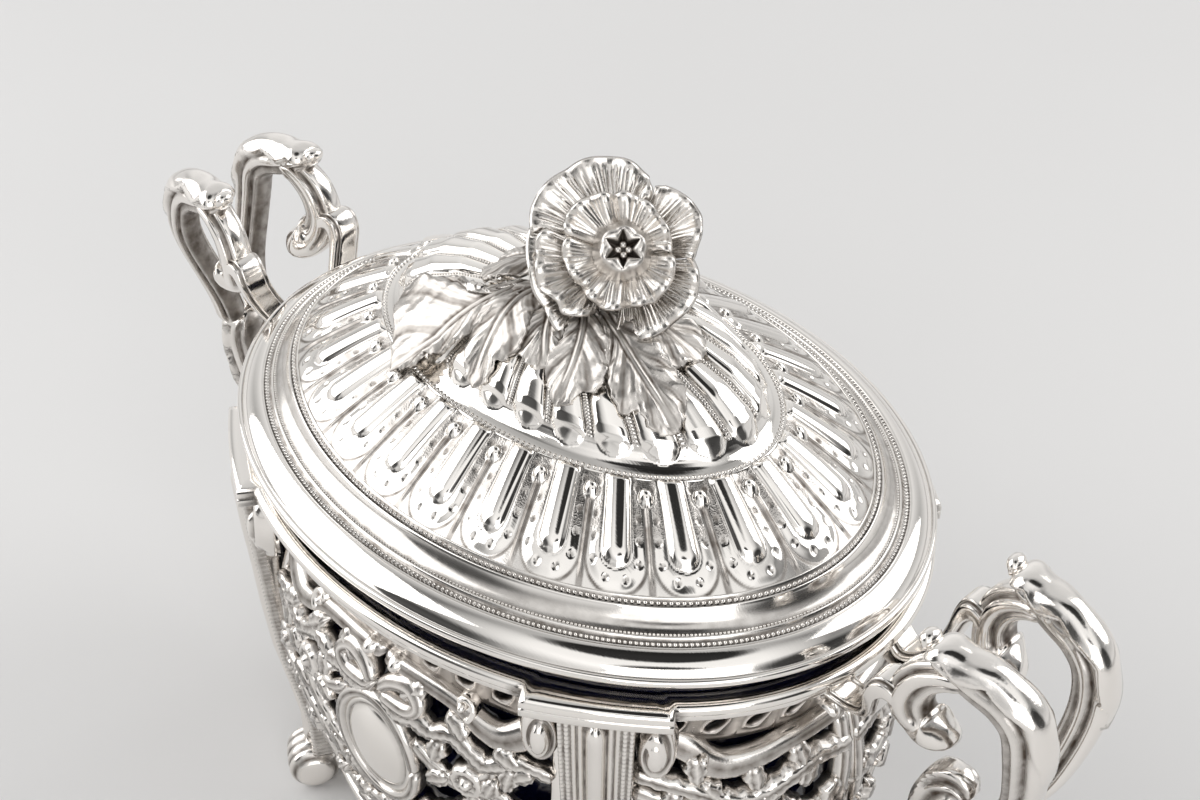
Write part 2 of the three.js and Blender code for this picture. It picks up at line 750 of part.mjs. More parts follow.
// Rings of petals: each a shallow cup with a waved edge, placed from the middle of the flower
const outerPetals = {
  radius: 14.6, count: 5, floor: -3.2, rise: 3.2, ruffle: 0.9, thickness: 1.1, steps: 40,
};
const innerPetals = { radius: 8.6, count: 5, floor: -1.8, rise: 3, ruffle: 0.4, thickness: 1, steps: 30 };

function petals({ radius, count, floor, rise, ruffle, thickness, steps }) {
  const rings = [0.25, 0.55, 0.8, 1];
  const over = rings.map(share => [radius * share, floor + rise * share * share]);
  const profile = [[0, floor - thickness], ...over.map(([r, h]) => [r, h - thickness])];
  profile.push(...over.reverse(), [0, floor]);
  const cup = bent(turned(profile, steps), (x, y, z) => {
    const share = Math.hypot(x, y) / radius;
    const turn = Math.atan2(y, x);
    const lobe = 1 - 0.1 * share * (1 - Math.abs(Math.cos((turn * count) / 2)));
    const wave = ruffle * share ** 3 * Math.cos(turn * count * 2);
    return new THREE.Vector3(x * lobe, y * lobe, z + wave);
  });
  return solidOf(inFlower(cup));
}

function flowerCentre() {
  return solidOf(inFlower(turned([[0, -1.4], [2.8, -0.9], [3.2, 0.4], [1.8, 1.3], [0, 1.5]], 15)));
}

// Leaf on the dome: length along its rib, half width and the way it points, in degrees
const leafRoot = shoulderRadius + 1;
const leafSheet = 0.9;
const leafLift = gadroonRise + 0.4;
const leafHump = 0.3;
const leaves = [
  [-130, 27.5, 6.4],
  [-94, 17.5, 4.4],
  [-54, 17.8, 4.6],
  [-17, 27, 5.6],
  [19, 19.8, 4.6],
  [78, 15, 5.4],
  [168, 13, 5.4],
];

// Half of the angle between a leaf and its nearest neighbour
function leafRoom(degrees) {
  const gaps = leaves.filter(([other]) => other !== degrees).map(([other]) => {
    const gap = Math.abs(other - degrees) % 360;
    return Math.min(gap, 360 - gap);
  });
  return THREE.MathUtils.degToRad(Math.min(...gaps) / 2);
}

function leaf([degrees, length, halfWidth]) {
  const outline = [new THREE.Vector2(0, -1)];
  const widths = [0.34, 0.95, 0.78, 1, 0.6, 0.62, 0.2];
  widths.forEach((share, i) => {
    const along = (length * (i + 1)) / (widths.length + 1);
    const room = (leafRoot + along) * Math.tan(leafRoom(degrees)) - seat / 2;
    outline.push(new THREE.Vector2(along, -Math.min(halfWidth * share, room)));
  });
  outline.push(new THREE.Vector2(length, 0));
  const back = outline.slice(0, -1).map(point => new THREE.Vector2(point.x, -point.y)).reverse();
  const cut = extruded(new THREE.Shape([...outline, ...back]), leafSheet);
  const flat = new TessellateModifier(7, 10).modify(cut);
  const turn = THREE.MathUtils.degToRad(degrees);
  return solidOf(bent(flat, (u, v, t) => {
    const x = (leafRoot + u) * Math.cos(turn) - v * Math.sin(turn);
    const y = (leafRoot + u) * Math.sin(turn) + v * Math.cos(turn);
    const hump = leafHump * Math.sin((Math.PI * u) / length) + 0.08 * Math.abs(v);
    return new THREE.Vector3(x, y, lidHeightAt(x, y) + leafLift + hump + t);
  }));
}

// Nut that holds the finial's stud, under the dome
function finialNut() {
  const top = domeTop - lidSheet - seat;
  const shape = ellipse(0, 0, nutRadius, nutRadius, 6);
  shape.holes.push(ellipse(0, 0, studRadius + seat, studRadius + seat, 16));
  return solidOf(extruded(shape, nutHeight).translate(0, 0, top - nutHeight));
}

// The bowl
addPiece('rim_frame', rimFrame(), silver);
addPiece('frieze_band', friezeBand(), darkSilver);
const front = distanceAt((3 * Math.PI) / 2);
const rear = distanceAt(Math.PI / 2);
const left = distanceAt(Math.PI);
for (const [name, middle] of [['front', front], ['rear', rear]]) {
  addPiece(`side_panel_${name}`, panel(sideWindows, sideDrawnHalf, sideHalf, middle), silver);
  addPiece(`medallion_${name}`, medallion(middle), silver);
}
for (const [name, middle] of [['right', 0], ['left', left]]) {
  addPiece(`end_panel_${name}`, panel(endWindows, endDrawnHalf, endHalf, middle), silver);
}
addPiece('base_band', baseBand(), silver);
addPiece('base_plate', basePlate(), darkSilver);
const oneLeg = leg();
const oneBranch = branch();
const oneScroll = handleScroll();
for (const [end, alongX] of [['right', 1], ['left', -1]]) {
  for (const [side, alongY] of [['front', -1], ['rear', 1]]) {
    addPiece(`leg_${side}_${end}`, solidOf(mirrored(oneLeg, alongX, alongY)), silver);
    addPiece(`handle_branch_${side}_${end}`, solidOf(mirrored(oneBranch, alongX, alongY)), silver);
  }
  addPiece(`handle_scroll_${end}`, solidOf(mirrored(oneScroll, alongX, 1)), darkSilver);
}
addPiece('glass_liner', glassLiner(), cobaltGlass);
addPiece('lid_shell', lidShell(), silver);
addPiece('lid_seat_ring', lidSeatRing(), silver);
addPiece('lid_bezel', lidBezel(), silver);
addPiece('finial_stem', finialStem(), silver);
leaves.forEach((shape, i) => addPiece(`finial_leaf_${i + 1}`, leaf(shape), silver));
addPiece('flower_outer_petals', petals(outerPetals), silver);
addPiece('flower_inner_petals', petals(innerPetals), silver);
addPiece('flower_centre', flowerCentre(), silver);
addPiece('finial_nut', finialNut(), brass);

export default bowl;
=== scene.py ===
import math

import bpy
import numpy as np
from mathutils import Matrix, Vector


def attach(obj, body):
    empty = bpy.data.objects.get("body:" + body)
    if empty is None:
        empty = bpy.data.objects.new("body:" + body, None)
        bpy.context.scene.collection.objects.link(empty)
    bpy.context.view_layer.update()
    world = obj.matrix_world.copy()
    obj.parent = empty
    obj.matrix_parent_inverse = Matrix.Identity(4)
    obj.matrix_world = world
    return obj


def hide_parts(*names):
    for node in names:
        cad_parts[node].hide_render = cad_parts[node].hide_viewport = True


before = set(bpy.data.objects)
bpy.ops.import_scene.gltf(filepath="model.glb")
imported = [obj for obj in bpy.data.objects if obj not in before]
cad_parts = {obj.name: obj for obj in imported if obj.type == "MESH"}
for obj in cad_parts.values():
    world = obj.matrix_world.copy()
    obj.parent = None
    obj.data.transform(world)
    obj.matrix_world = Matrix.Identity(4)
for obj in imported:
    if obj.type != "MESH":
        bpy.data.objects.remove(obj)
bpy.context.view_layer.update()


# Camera: it stands in front and to the right of the bowl with a 60 mm lens, and looks down past
# the flower, as the photograph's camera did.
def stand(name, data):
    """A new object in the scene that holds a camera, a lamp or a mesh."""
    made = bpy.data.objects.new(name, data)
    bpy.context.scene.collection.objects.link(made)
    return made


camera_place = (0.18642, -0.19623, 0.318)
camera_round, camera_down, camera_roll = 0.745, 0.6778, 0.0219
back = Vector((
    math.sin(camera_round) * math.cos(camera_down),
    -math.cos(camera_round) * math.cos(camera_down),
    math.sin(camera_down),
))
level = Vector((0, 0, 1)).cross(back).normalized()
upright = back.cross(level)
right = math.cos(camera_roll) * level + math.sin(camera_roll) * upright
above = math.cos(camera_roll) * upright - math.sin(camera_roll) * level
camera_data = bpy.data.cameras.new("camera")
camera_data.lens = 60
camera_data.sensor_width = 36
camera_data.clip_start = 0.01
camera = stand("camera", camera_data)
camera_turn = Matrix((right, above, back)).transposed().to_4x4()
camera.matrix_world = Matrix.Translation(camera_place) @ camera_turn
bpy.context.scene.camera = camera
bpy.context.scene.view_settings.view_transform = "Standard"


# Table and light: a pale matt table in a white tent that is darker overhead, with two bright
# patches and five dark ones that the silver mirrors, and three soft lamps.
def add_node(tree, kind, values=None, **settings):
    made = tree.nodes.new(kind)
    for name, value in settings.items():
        setattr(made, name, value)
    for socket, value in (values or {}).items():
        if isinstance(value, bpy.types.NodeSocket):
            tree.links.new(value, made.inputs[socket])
        else:
            made.inputs[socket].default_value = value
    return made


def ramp(tree, value, stops):
    made = add_node(tree, "ShaderNodeValToRGB", {0: value})
    while len(made.color_ramp.elements) < len(stops):
        made.color_ramp.elements.new(0.5)
    for element, (place, colour) in zip(made.color_ramp.elements, stops):
        element.position = place
        element.color = (*colour, 1) if isinstance(colour, tuple) else (colour, colour, colour, 1)
    return made.outputs[0]


def noise(tree, place, scale, detail, roughness=0.5):
    values = {"Vector": place, "Scale": scale, "Detail": detail, "Roughness": roughness}
    return add_node(tree, "ShaderNodeTexNoise", values).outputs[0]


def place_of(tree):
    return add_node(tree, "ShaderNodeTexCoord").outputs["Object"]


def shaded(name):
    material = bpy.data.materials.new(name)
    material.use_nodes = True
    tree = material.node_tree
    return material, tree, tree.nodes["Principled BSDF"]


table_half = 3.0
table_mesh = bpy.data.meshes.new("table")
table_mesh.from_pydata([(x, y, 0) for x, y in ((-1, -1), (1, -1), (1, 1), (-1, 1))], [], [(0, 1, 2, 3)])
table_mesh.transform(Matrix.Scale(table_half, 4))
table = stand("table", table_mesh)
table_paper, tree, surface = shaded("table_paper")
paper_tones = [(0.3, (0.715, 0.707, 0.7)), (0.7, (0.745, 0.738, 0.731))]
cloud = noise(tree, place_of(tree), 3.0, 3.0)
tree.links.new(ramp(tree, cloud, paper_tones), surface.inputs["Base Color"])
surface.inputs["Roughness"].default_value = 0.7
table_mesh.materials.append(table_paper)

tent_by_height = [(0.0, 0.95), (0.12, 0.88), (0.4, 0.5), (0.8, 0.24), (1.0, 0.2)]
tent_patches = [
    ("ADD", (0.395, -0.416, 0.819), [(0.68, 0.0), (0.9, 1.0)]),
    ("ADD", (-0.48, 0.51, 0.714), [(0.7, 0.0), (0.9, 0.6)]),
    ("MULTIPLY", (0.105, -0.11, 0.988), [(0.945, 1.0), (0.965, 0.03)]),
    ("MULTIPLY", (0.527, -0.556, 0.643), [(0.975, 1.0), (0.99, 0.05)]),
    ("MULTIPLY", (0.64, -0.69, 0.33), [(0.958, 1.0), (0.984, 0.08)]),
    ("MULTIPLY", (0.96, 0.12, 0.24), [(0.88, 1.0), (0.95, 0.1)]),
    ("MULTIPLY", (-0.3, -0.92, 0.24), [(0.93, 1.0), (0.975, 0.15)]),
]
tent_strength = 0.8
world = bpy.data.worlds.new("tent")
bpy.context.scene.world = world
world.use_nodes = True
tree = world.node_tree
facing = add_node(tree, "ShaderNodeTexCoord").outputs["Generated"]
shown = ramp(tree, add_node(tree, "ShaderNodeSeparateXYZ", {0: facing}).outputs["Z"], tent_by_height)
for blend, middle, stops in tent_patches:
    near = add_node(tree, "ShaderNodeVectorMath", {0: facing, 1: middle}, operation="DOT_PRODUCT")
    patch = ramp(tree, near.outputs["Value"], stops)
    shown = add_node(tree, "ShaderNodeMix", {0: 1.0, 6: shown, 7: patch}, data_type="RGBA", blend_type=blend)
    shown = shown.outputs[2]
tree.links.new(shown, tree.nodes["Background"].inputs["Color"])
tree.nodes["Background"].inputs["Strength"].default_value = tent_strength

lamps_aim = Vector((0, 0, 0.08))
for name, spot, size, power in [
    ("lamp_behind", (0.4, 0.75, 0.8), 0.8, 4.5),
    ("lamp_left", (-0.9, -0.6, 0.7), 1.3, 10),
    ("lamp_right", (0.9, -0.75, 0.5), 0.9, 4),
]:
    lamp_data = bpy.data.lights.new(name, "AREA")
    lamp_data.size = size
    lamp_data.energy = power
    lamp = stand(name, lamp_data)
    lamp.location = spot
    lamp.rotation_euler = (lamps_aim - Vector(spot)).to_track_quat("-Z", "Y").to_euler()


# Lid flange and mouldings: raised silver sheet, spun over an oval chuck. A broad roll at the
# edge, a channel, a hollow and a small band lead up to the lobes. It is burnished, with grey
# polish left in the grooves.
MM = 0.001
LID_HALF = 68.0
LID_HALF_WIDTH = 52.6
LID_EDGE = 93.0
DOME_HALF = 37.0
POLE = 8.0
DOME_SLOPE = (DOME_HALF - LID_HALF + LID_HALF_WIDTH - POLE) / (DOME_HALF - POLE)


def half_width(half_length):
    """Half the width of the lid's oval where it has this half length. It is round at the pole."""
    r = np.asarray(half_length, float)
    on_dome = np.clip(r - POLE, 0, DOME_HALF - POLE)
    return np.minimum(r, POLE) + on_dome * DOME_SLOPE + np.maximum(r - DOME_HALF, 0)


def on_oval(turn, inset, z):
    r = LID_HALF - np.asarray(inset, float)
    x, y, z = np.broadcast_arrays(r * np.cos(turn), half_width(r) * np.sin(turn), z)
    return np.stack([x, y, z], -1)


def turns_of(count):
    return np.linspace(0, 2 * np.pi, count, endpoint=False)


def grid_faces(rows, columns, round_rows=False, round_columns=False):
    i = np.arange(rows if round_rows else rows - 1)
    j = np.arange(columns if round_columns else columns - 1)
    i, j = np.meshgrid(i, j, indexing="ij")
    k, m = (i + 1) % rows, (j + 1) % columns
    corners = [i * columns + j, i * columns + m, k * columns + m, k * columns + j]
    return np.stack([c.ravel() for c in corners], -1)


def spun(profile, count):
    """A closed ring of (inset, height) points, carried round the oval."""
    points = on_oval(turns_of(count)[None, :], profile[:, :1], profile[:, 1:])
    return points, grid_faces(len(profile), count, True, True), {}


def face_out(mesh):
    """Turns the faces outwards by the sign of the mesh's volume."""
    mesh.calc_loop_triangles()
    points = np.zeros(len(mesh.vertices) * 3)
    mesh.vertices.foreach_get("co", points)
    corners = np.zeros(len(mesh.loop_triangles) * 3, int)
    mesh.loop_triangles.foreach_get("vertices", corners)
    a, b, c = points.reshape(-1, 3)[corners.reshape(-1, 3)].transpose(1, 0, 2)
    if np.einsum("ij,ij->i", a, np.cross(b, c)).sum() < 0:
        mesh.flip_normals()
    mesh.shade_smooth()
    mesh.update()


def make_piece(name, drawn, material):
    """A mesh object from its drawn points in millimetres, its faces and its marks."""
    points, faces, marks = drawn
    mesh = bpy.data.meshes.new(name)
    points = np.asarray(points, float).reshape(-1, 3) * MM
    mesh.from_pydata(points.tolist(), [], [tuple(f) for f in faces])
    for mark, values in marks.items():
        layer = mesh.attributes.new(mark, "FLOAT", "POINT")
        layer.data.foreach_set("value", np.ravel(values).astype(np.float32))
    mesh.materials.append(material)
    piece = stand(name, mesh)
    face_out(mesh)
    return piece


def mark_hollows(piece, reach):
    """Writes how deep in a hollow each point lies, as tarnish, from 0 on ridges and flats to 1 in grooves.
    A darker mark that was drawn in, of tarnish or of painted shade, stays."""
    mesh = piece.data
    count = len(mesh.vertices)
    points = np.zeros(count * 3)
    mesh.vertices.foreach_get("co", points)
    points = points.reshape(-1, 3) / MM
    normals = np.zeros(count * 3)
    mesh.vertices.foreach_get("normal", normals)
    edges = np.zeros(len(mesh.edges) * 2, int)
    mesh.edges.foreach_get("vertices", edges)
    a, b = edges.reshape(-1, 2).T
    near = np.bincount(a, minlength=count) + np.bincount(b, minlength=count)
    near = np.maximum(near, 1)[:, None]

    def spread(values):
        total = np.zeros_like(values)
        np.add.at(total, a, values[b])
        np.add.at(total, b, values[a])
        return total / near

    soft = points
    for _ in range(3):
        soft = 0.5 * soft + 0.5 * spread(soft)
    hollow = ((soft - points) * normals.reshape(-1, 3)).sum(1, keepdims=True)
    hollow = np.clip(0.5 * (hollow + spread(hollow)) / reach, 0, 1)
    layer = mesh.attributes.get("hollow") or mesh.attributes.new("hollow", "FLOAT", "POINT")
    drawn = np.zeros(count, np.float32)
    layer.data.foreach_get("value", drawn)
    layer.data.foreach_set("value", np.maximum(drawn, hollow.astype(np.float32).ravel()))


def join_body(piece, body, slot, *nodes):
    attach(piece, body)
    if nodes:
        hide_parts(*nodes)


# Worn silver, the finish of every silver piece: bright where hands and cloth reach, brown grey where polish
# and tarnish stay in the hollows, and darker with painted shade where a part draws shade into the same mark,
# with fine scratches, cast grain or a punched ground.
def combine(tree, operation, *values, clamp=False):
    values = dict(enumerate(values))
    return add_node(tree, "ShaderNodeMath", values, operation=operation, use_clamp=clamp).outputs[0]


def scaled(tree, value, low, high, to_low, to_high):
    values = {0: value, 1: low, 2: high, 3: to_low, 4: to_high}
    return add_node(tree, "ShaderNodeMapRange", values).outputs[0]


wear_and_shade = bpy.data.node_groups.new("silver_wear", "ShaderNodeTree")
for name, kind, value in [
    ("Silver", "NodeSocketColor", (0.925, 0.892, 0.85, 1)),
    ("Grime", "NodeSocketColor", (0.09, 0.068, 0.052, 1)),
    ("Grime amount", "NodeSocketFloat", 0.8),
    ("Polish", "NodeSocketFloat", 0.07),
    ("Cast grain", "NodeSocketFloat", 0.0),
    ("Stipple", "NodeSocketFloat", 0.0),
]:
    wear_and_shade.interface.new_socket(name, in_out="INPUT", socket_type=kind).default_value = value
for name, kind in [("Colour", "Color"), ("Roughness", "Float"), ("Normal", "Vector")]:
    wear_and_shade.interface.new_socket(name, in_out="OUTPUT", socket_type="NodeSocket" + kind)
given = add_node(wear_and_shade, "NodeGroupInput").outputs
place = place_of(wear_and_shade)
hollow = add_node(wear_and_shade, "ShaderNodeAttribute", attribute_name="hollow").outputs["Fac"]
ground = add_node(wear_and_shade, "ShaderNodeAttribute", attribute_name="stipple").outputs["Fac"]
smudge = noise(wear_and_shade, place, 90.0, 4.0, 0.6)
film = noise(wear_and_shade, place, 420.0, 3.0)
grain = noise(wear_and_shade, place, 1500.0, 3.0, 0.7)
along_scratch = {"Vector": place, "Rotation": (0.4, 0.3, 0.7), "Scale": (160.0, 5200.0, 900.0)}
scratch = noise(wear_and_shade, add_node(wear_and_shade, "ShaderNodeMapping", along_scratch).outputs[0], 1.0, 2.0)
punches = add_node(wear_and_shade, "ShaderNodeTexVoronoi", {"Vector": place, "Scale": 3600.0}).outputs["Distance"]
# Darkens the colour towards the dark brown grey where the mark asks: tarnish in the hollows, and painted
# shade on the parts that draw it in.
tarnish_and_shade_share = combine(wear_and_shade, "MULTIPLY", hollow, scaled(wear_and_shade, film, 0.3, 0.7, 0.65, 1.15))
tarnish_and_shade_share = combine(wear_and_shade, "MULTIPLY", tarnish_and_shade_share, given["Grime amount"], clamp=True)
tint = add_node(wear_and_shade, "ShaderNodeMix", {0: tarnish_and_shade_share, 6: given["Silver"], 7: given["Grime"]}, data_type="RGBA")
rough = combine(wear_and_shade, "ADD", given["Polish"], scaled(wear_and_shade, smudge, 0.35, 0.75, -0.02, 0.07))
rough = combine(wear_and_shade, "MULTIPLY_ADD", tarnish_and_shade_share, 0.35, rough, clamp=True)
relief = combine(wear_and_shade, "MULTIPLY", scratch, 0.12)
relief = combine(wear_and_shade, "MULTIPLY_ADD", grain, given["Cast grain"], relief)
relief = combine(wear_and_shade, "MULTIPLY_ADD", punches, combine(wear_and_shade, "MULTIPLY", ground, given["Stipple"]), relief)
bump = add_node(wear_and_shade, "ShaderNodeBump", {"Height": relief, "Strength": 0.35, "Distance": 0.0001})
worn_and_shaded = {"Colour": tint.outputs[2], "Roughness": rough, "Normal": bump.outputs[0]}
add_node(wear_and_shade, "NodeGroupOutput", worn_and_shaded)


def silver_finish(name, **values):
    material, tree, surface = shaded(name)
    worn_and_shaded = add_node(tree, "ShaderNodeGroup", node_tree=wear_and_shade)
    for socket, value in values.items():
        worn_and_shaded.inputs[socket.replace("_", " ").capitalize()].default_value = value
    for socket, output in [("Base Color", "Colour"), ("Roughness", "Roughness"), ("Normal", "Normal")]:
        tree.links.new(worn_and_shaded.outputs[output], surface.inputs[socket])
    surface.inputs["Metallic"].default_value = 1.0
    return material


burnished = silver_finish("burnished_silver", polish=0.05)
chased = silver_finish("chased_silver", silver=(0.74, 0.705, 0.665, 1), polish=0.24,
                       cast_grain=1.1, grime_amount=1.0)
cast = silver_finish("cast_silver", silver=(0.9, 0.865, 0.825, 1), polish=0.1,
                     cast_grain=0.5, grime_amount=1.0)
punched = silver_finish("punched_silver", polish=0.06, stipple=0.9)

flange_profile = np.array([
    (1.2, -1.0), (0.4, -0.95), (0.05, -0.7), (0.0, -0.3), (0.1, 0.15), (0.35, 0.4), (0.7, 0.42), (0.85, 0.35),
    (1.0, 0.5), (1.2, 0.85), (1.7, 1.5), (2.3, 2.05), (3.0, 2.5), (3.7, 2.85), (4.3, 3.05), (4.55, 3.1),
    (4.65, 3.02), (4.8, 3.02), (4.9, 3.1), (5.0, 3.05), (5.1, 2.9), (5.9, 3.15), (6.3, 3.3), (6.42, 3.75),
    (6.6, 3.85), (6.78, 3.8), (6.85, 3.6), (7.2, 3.78), (7.7, 4.02), (8.2, 4.38), (8.7, 4.85), (9.1, 5.35),
    (9.4, 5.85), (9.65, 6.4), (9.8, 6.75), (9.95, 6.9), (10.1, 6.9), (10.2, 6.75), (10.6, 6.95), (11.1, 7.25),
    (11.25, 7.6), (11.45, 7.72),
])
SHEET = 1.2
flange_back = flange_profile[[40, 34, 29, 21, 14, 10, 5]] + [0.5, -SHEET]
flange_ring = np.concatenate([flange_profile, flange_back, [(2.2, -1.0)]])
flange_turns = 360
# The channels under the milled lines and the outer bead row are darkened: painted shade, with the tarnish
# that stays there.
channels = ((5.7, 0.7), (7.1, 0.3), (10.6, 0.6))
laid = sum(np.abs(flange_ring[:, 0] - at) < half for at, half in channels)
laid = 0.9 * laid * (flange_ring[:, 1] > 2.5)
points, faces, _ = spun(flange_ring + [0, LID_EDGE], flange_turns)
lid_flange = make_piece("lid_flange", (points, faces, {"hollow": np.repeat(laid, flange_turns)}), burnished)
mark_hollows(lid_flange, 0.06)
join_body(lid_flange, "lid", "polished_silver", "lid_shell")


# Lobed band of the lid: 26 tongues, each with a raised flute, a row of punched dots and a stippled
# ground, chased from the front, with a thin dart and a bead between them. One tongue is drawn and
# set round the oval.
ring_tree = bpy.data.node_groups.new("set_round_oval", "GeometryNodeTree")
ring_tree.interface.new_socket("Geometry", in_out="INPUT", socket_type="NodeSocketGeometry")
for name, kind in [("Count", "Int"), ("Start", "Float"), ("Half length", "Float"), ("Half width", "Float"),
                   ("Material", "Material")]:
    ring_tree.interface.new_socket(name, in_out="INPUT", socket_type="NodeSocket" + kind)
ring_tree.interface.new_socket("Geometry", in_out="OUTPUT", socket_type="NodeSocketGeometry")


def ring_node(kind, values=None, **settings):
    return add_node(ring_tree, kind, values, **settings).outputs


def ring_math(operation, *values):
    return combine(ring_tree, operation, *values)


given = ring_node("NodeGroupInput")
line = ring_node("GeometryNodeMeshLine", {"Count": given["Count"], "Offset": (1, 0, 0)})[0]
copies = ring_node("GeometryNodeInstanceOnPoints", {"Points": line, "Instance": given["Geometry"]})[0]
copies = ring_node("GeometryNodeRealizeInstances", {0: copies})[0]
circle = ring_node("GeometryNodeCurvePrimitiveCircle", {"Resolution": 720, "Radius": 1.0})[0]
stretch = ring_node("ShaderNodeCombineXYZ", {0: given["Half length"], 1: given["Half width"], 2: 1.0})[0]
oval = ring_node("GeometryNodeTransform", {"Geometry": circle, "Scale": stretch})[0]
share, reach, height = ring_node("ShaderNodeSeparateXYZ", {0: ring_node("GeometryNodeInputPosition")[0]})
along = ring_math("ADD", ring_math("ADD", share, given["Start"]), given["Count"])
along = ring_math("FRACT", ring_math("DIVIDE", along, given["Count"]))
found = ring_node("GeometryNodeSampleCurve", {"Curves": oval, "Factor": along}, mode="FACTOR")
spot = ring_node("ShaderNodeSeparateXYZ", {0: found["Position"]})
cosine = ring_math("DIVIDE", spot[0], given["Half length"])
sine = ring_math("DIVIDE", spot[1], given["Half width"])
inner = ring_math("MINIMUM", reach, POLE * MM)
middle = ring_math("SUBTRACT", ring_math("MINIMUM", reach, DOME_HALF * MM), inner)
outer = ring_math("MAXIMUM", ring_math("SUBTRACT", reach, DOME_HALF * MM), 0.0)
width = ring_math("ADD", ring_math("MULTIPLY_ADD", middle, DOME_SLOPE, inner), outer)
x, y = ring_math("MULTIPLY", cosine, reach), ring_math("MULTIPLY", sine, width)
to = ring_node("ShaderNodeCombineXYZ", {0: x, 1: y, 2: height})[0]
moved = ring_node("GeometryNodeSetPosition", {"Geometry": copies, "Position": to})[0]
whole = ring_node("GeometryNodeMergeByDistance", {"Geometry": moved, "Distance": 2e-6})[0]
whole = ring_node("GeometryNodeSetMaterial", {"Geometry": whole, "Material": given["Material"]})[0]
add_node(ring_tree, "NodeGroupOutput", {0: whole})


def grow(piece, tree, **inputs):
    """Runs a geometry tree on the piece and keeps the result as its plain mesh."""
    modifier = piece.modifiers.new("grow", "NODES")
    modifier.node_group = tree
    for socket in tree.interface.items_tree:
        name = socket.name.lower().replace(" ", "_")
        if socket.in_out == "INPUT" and name in inputs:
            modifier[socket.identifier] = inputs[name]
    bpy.context.view_layer.update()
    graph = bpy.context.evaluated_depsgraph_get()
    grown = piece.evaluated_get(graph)
    mesh = bpy.data.meshes.new_from_object(grown, preserve_all_data_layers=True, depsgraph=graph)
    piece.modifiers.clear()
    piece.data = mesh
    mesh.name = piece.name
    face_out(mesh)
    return piece


def set_round(name, part, count, inset, material, start=0.0):
    """Sets a drawn part (pitch share, inset, height) round the oval that lies at the given inset."""
    points, faces, marks = part
    points = np.asarray(points, float).reshape(-1, 3).copy()
    points[:, 1] = LID_HALF - points[:, 1]
    points[:, 0] /= MM
    piece = make_piece(name, (points, faces, marks), material)
    half = LID_HALF - inset
    return grow(piece, ring_tree, count=count, start=start, half_length=half * MM,
                half_width=float(half_width(half)) * MM, material=material)


def slab(share, inset, top, bottom, back_step=8, **marks):
    """Closed strip part between a top height field and a coarse back, open at its two sides."""
    rows, columns = top.shape
    share, inset = np.broadcast_arrays(share, inset)
    kept = np.unique([*range(0, rows - 4, back_step), rows - 1])
    bottom = np.broadcast_to(bottom, top.shape)
    upper = np.stack([share, inset, top], -1).reshape(-1, 3)
    lower = np.stack([share, inset, bottom], -1)[kept].reshape(-1, 3)
    count = rows * columns
    faces = [grid_faces(rows, columns), grid_faces(len(kept), columns)[:, ::-1] + count]
    for row, below in ((0, 0), (rows - 1, len(kept) - 1)):
        i = row * columns + np.arange(columns - 1)
        j = count + below * columns + np.arange(columns - 1)
        wall = np.stack([i, i + 1, j + 1, j], -1)
        faces.append(wall if row else wall[:, ::-1])
    back = np.zeros(len(lower))
    marks = {mark: np.concatenate([np.ravel(values), back]) for mark, values in marks.items()}
    return np.concatenate([upper, lower]), np.concatenate(faces), marks


def ease(value, low, high):
    share = np.clip((value - low) / (high - low), 0, 1)
    return share * share * (3 - 2 * share)


def rounded(share, power=2, least=0.0):
    """Height of a round top at a share of its half width."""
    return np.sqrt(np.clip(1 - share ** power, least, 1))


def bell(value, at, half):
    return np.exp(-((value - at) / half) ** 2)


lobe_count = 26
lobe_outer, lobe_inner = 11.4, 27.0
band_low, band_high, band_arch = 7.7, 18.0, 1.6
even = np.linspace(-1, 1, 49)[None, :]
share = 0.275 * even + 0.225 * np.sin(np.pi / 2 * even)
inset = np.linspace(lobe_outer - 0.1, lobe_inner + 0.2, 68)[:, None]
pitch = 11.7 - (inset - lobe_outer) * 0.245
across = share * pitch
to_edge = pitch / 2 - np.abs(across)
climb = (inset - lobe_outer) / (lobe_inner - lobe_outer)
base = LID_EDGE + band_low + climb * (band_high - band_low) + band_arch * climb * (1 - climb) - 0.25
dart, corner, groove_half = 0.66, 4.5, 0.2
inward = np.maximum(corner - (to_edge - dart), 0)
endward = np.maximum(corner - (inset - lobe_outer - 0.15), 0)
from_rim = corner - np.hypot(inward, endward)
reach = ease(inset, 25.4, 24.4)
groove = bell(from_rim, -groove_half, groove_half) * reach
between = ease(-from_rim, 0.3, 0.45) * reach
ridge = 0.3 * rounded(to_edge / 0.3) * reach * ease(inset, 12.2, 13.6)
pillow = 0.3 * ease(from_rim, 0.0, 1.6)
flute_half = 2.2 - 0.03 * (inset - 14.6)
flute_round = np.hypot(across / flute_half, np.maximum(16.6 - inset, 0) / 2.0)
flute = 1.35 * rounded(flute_round, 2.4) * (1 - 0.25 * climb) * ease(inset, 27.3, 26.0)
flute_line = bell(flute_round, 1.05, 0.06)
dots = np.zeros(flute_round.shape)
for side, at in [(1.6, 13.2), (3.6, 15.3), (3.55, 18.3), (3.35, 21.4), (3.0, 25.8)]:
    away = np.hypot(np.abs(across) - side, inset - at)
    dots = np.maximum(dots, np.clip(1 - (away / 0.55) ** 2, 0, 1))
from_bead = np.hypot(to_edge, inset - 24.4)
bead_radius = 1.2
bead = 1.05 * bead_radius * rounded(from_bead / bead_radius)
bead_line = bell(from_bead, 1.35, 0.15)
lift = pillow + flute + ridge - 0.6 * groove - 0.1 * flute_line - 0.4 * dots - 0.1 * bead_line
top = base + np.maximum(lift, bead)
on_ground = (flute_round > 1.1) * ((from_rim > 0.15) | (inset > 25.4)) * (from_bead > 1.3)
stippled = ease(inset, 17.4, 20.0) * on_ground
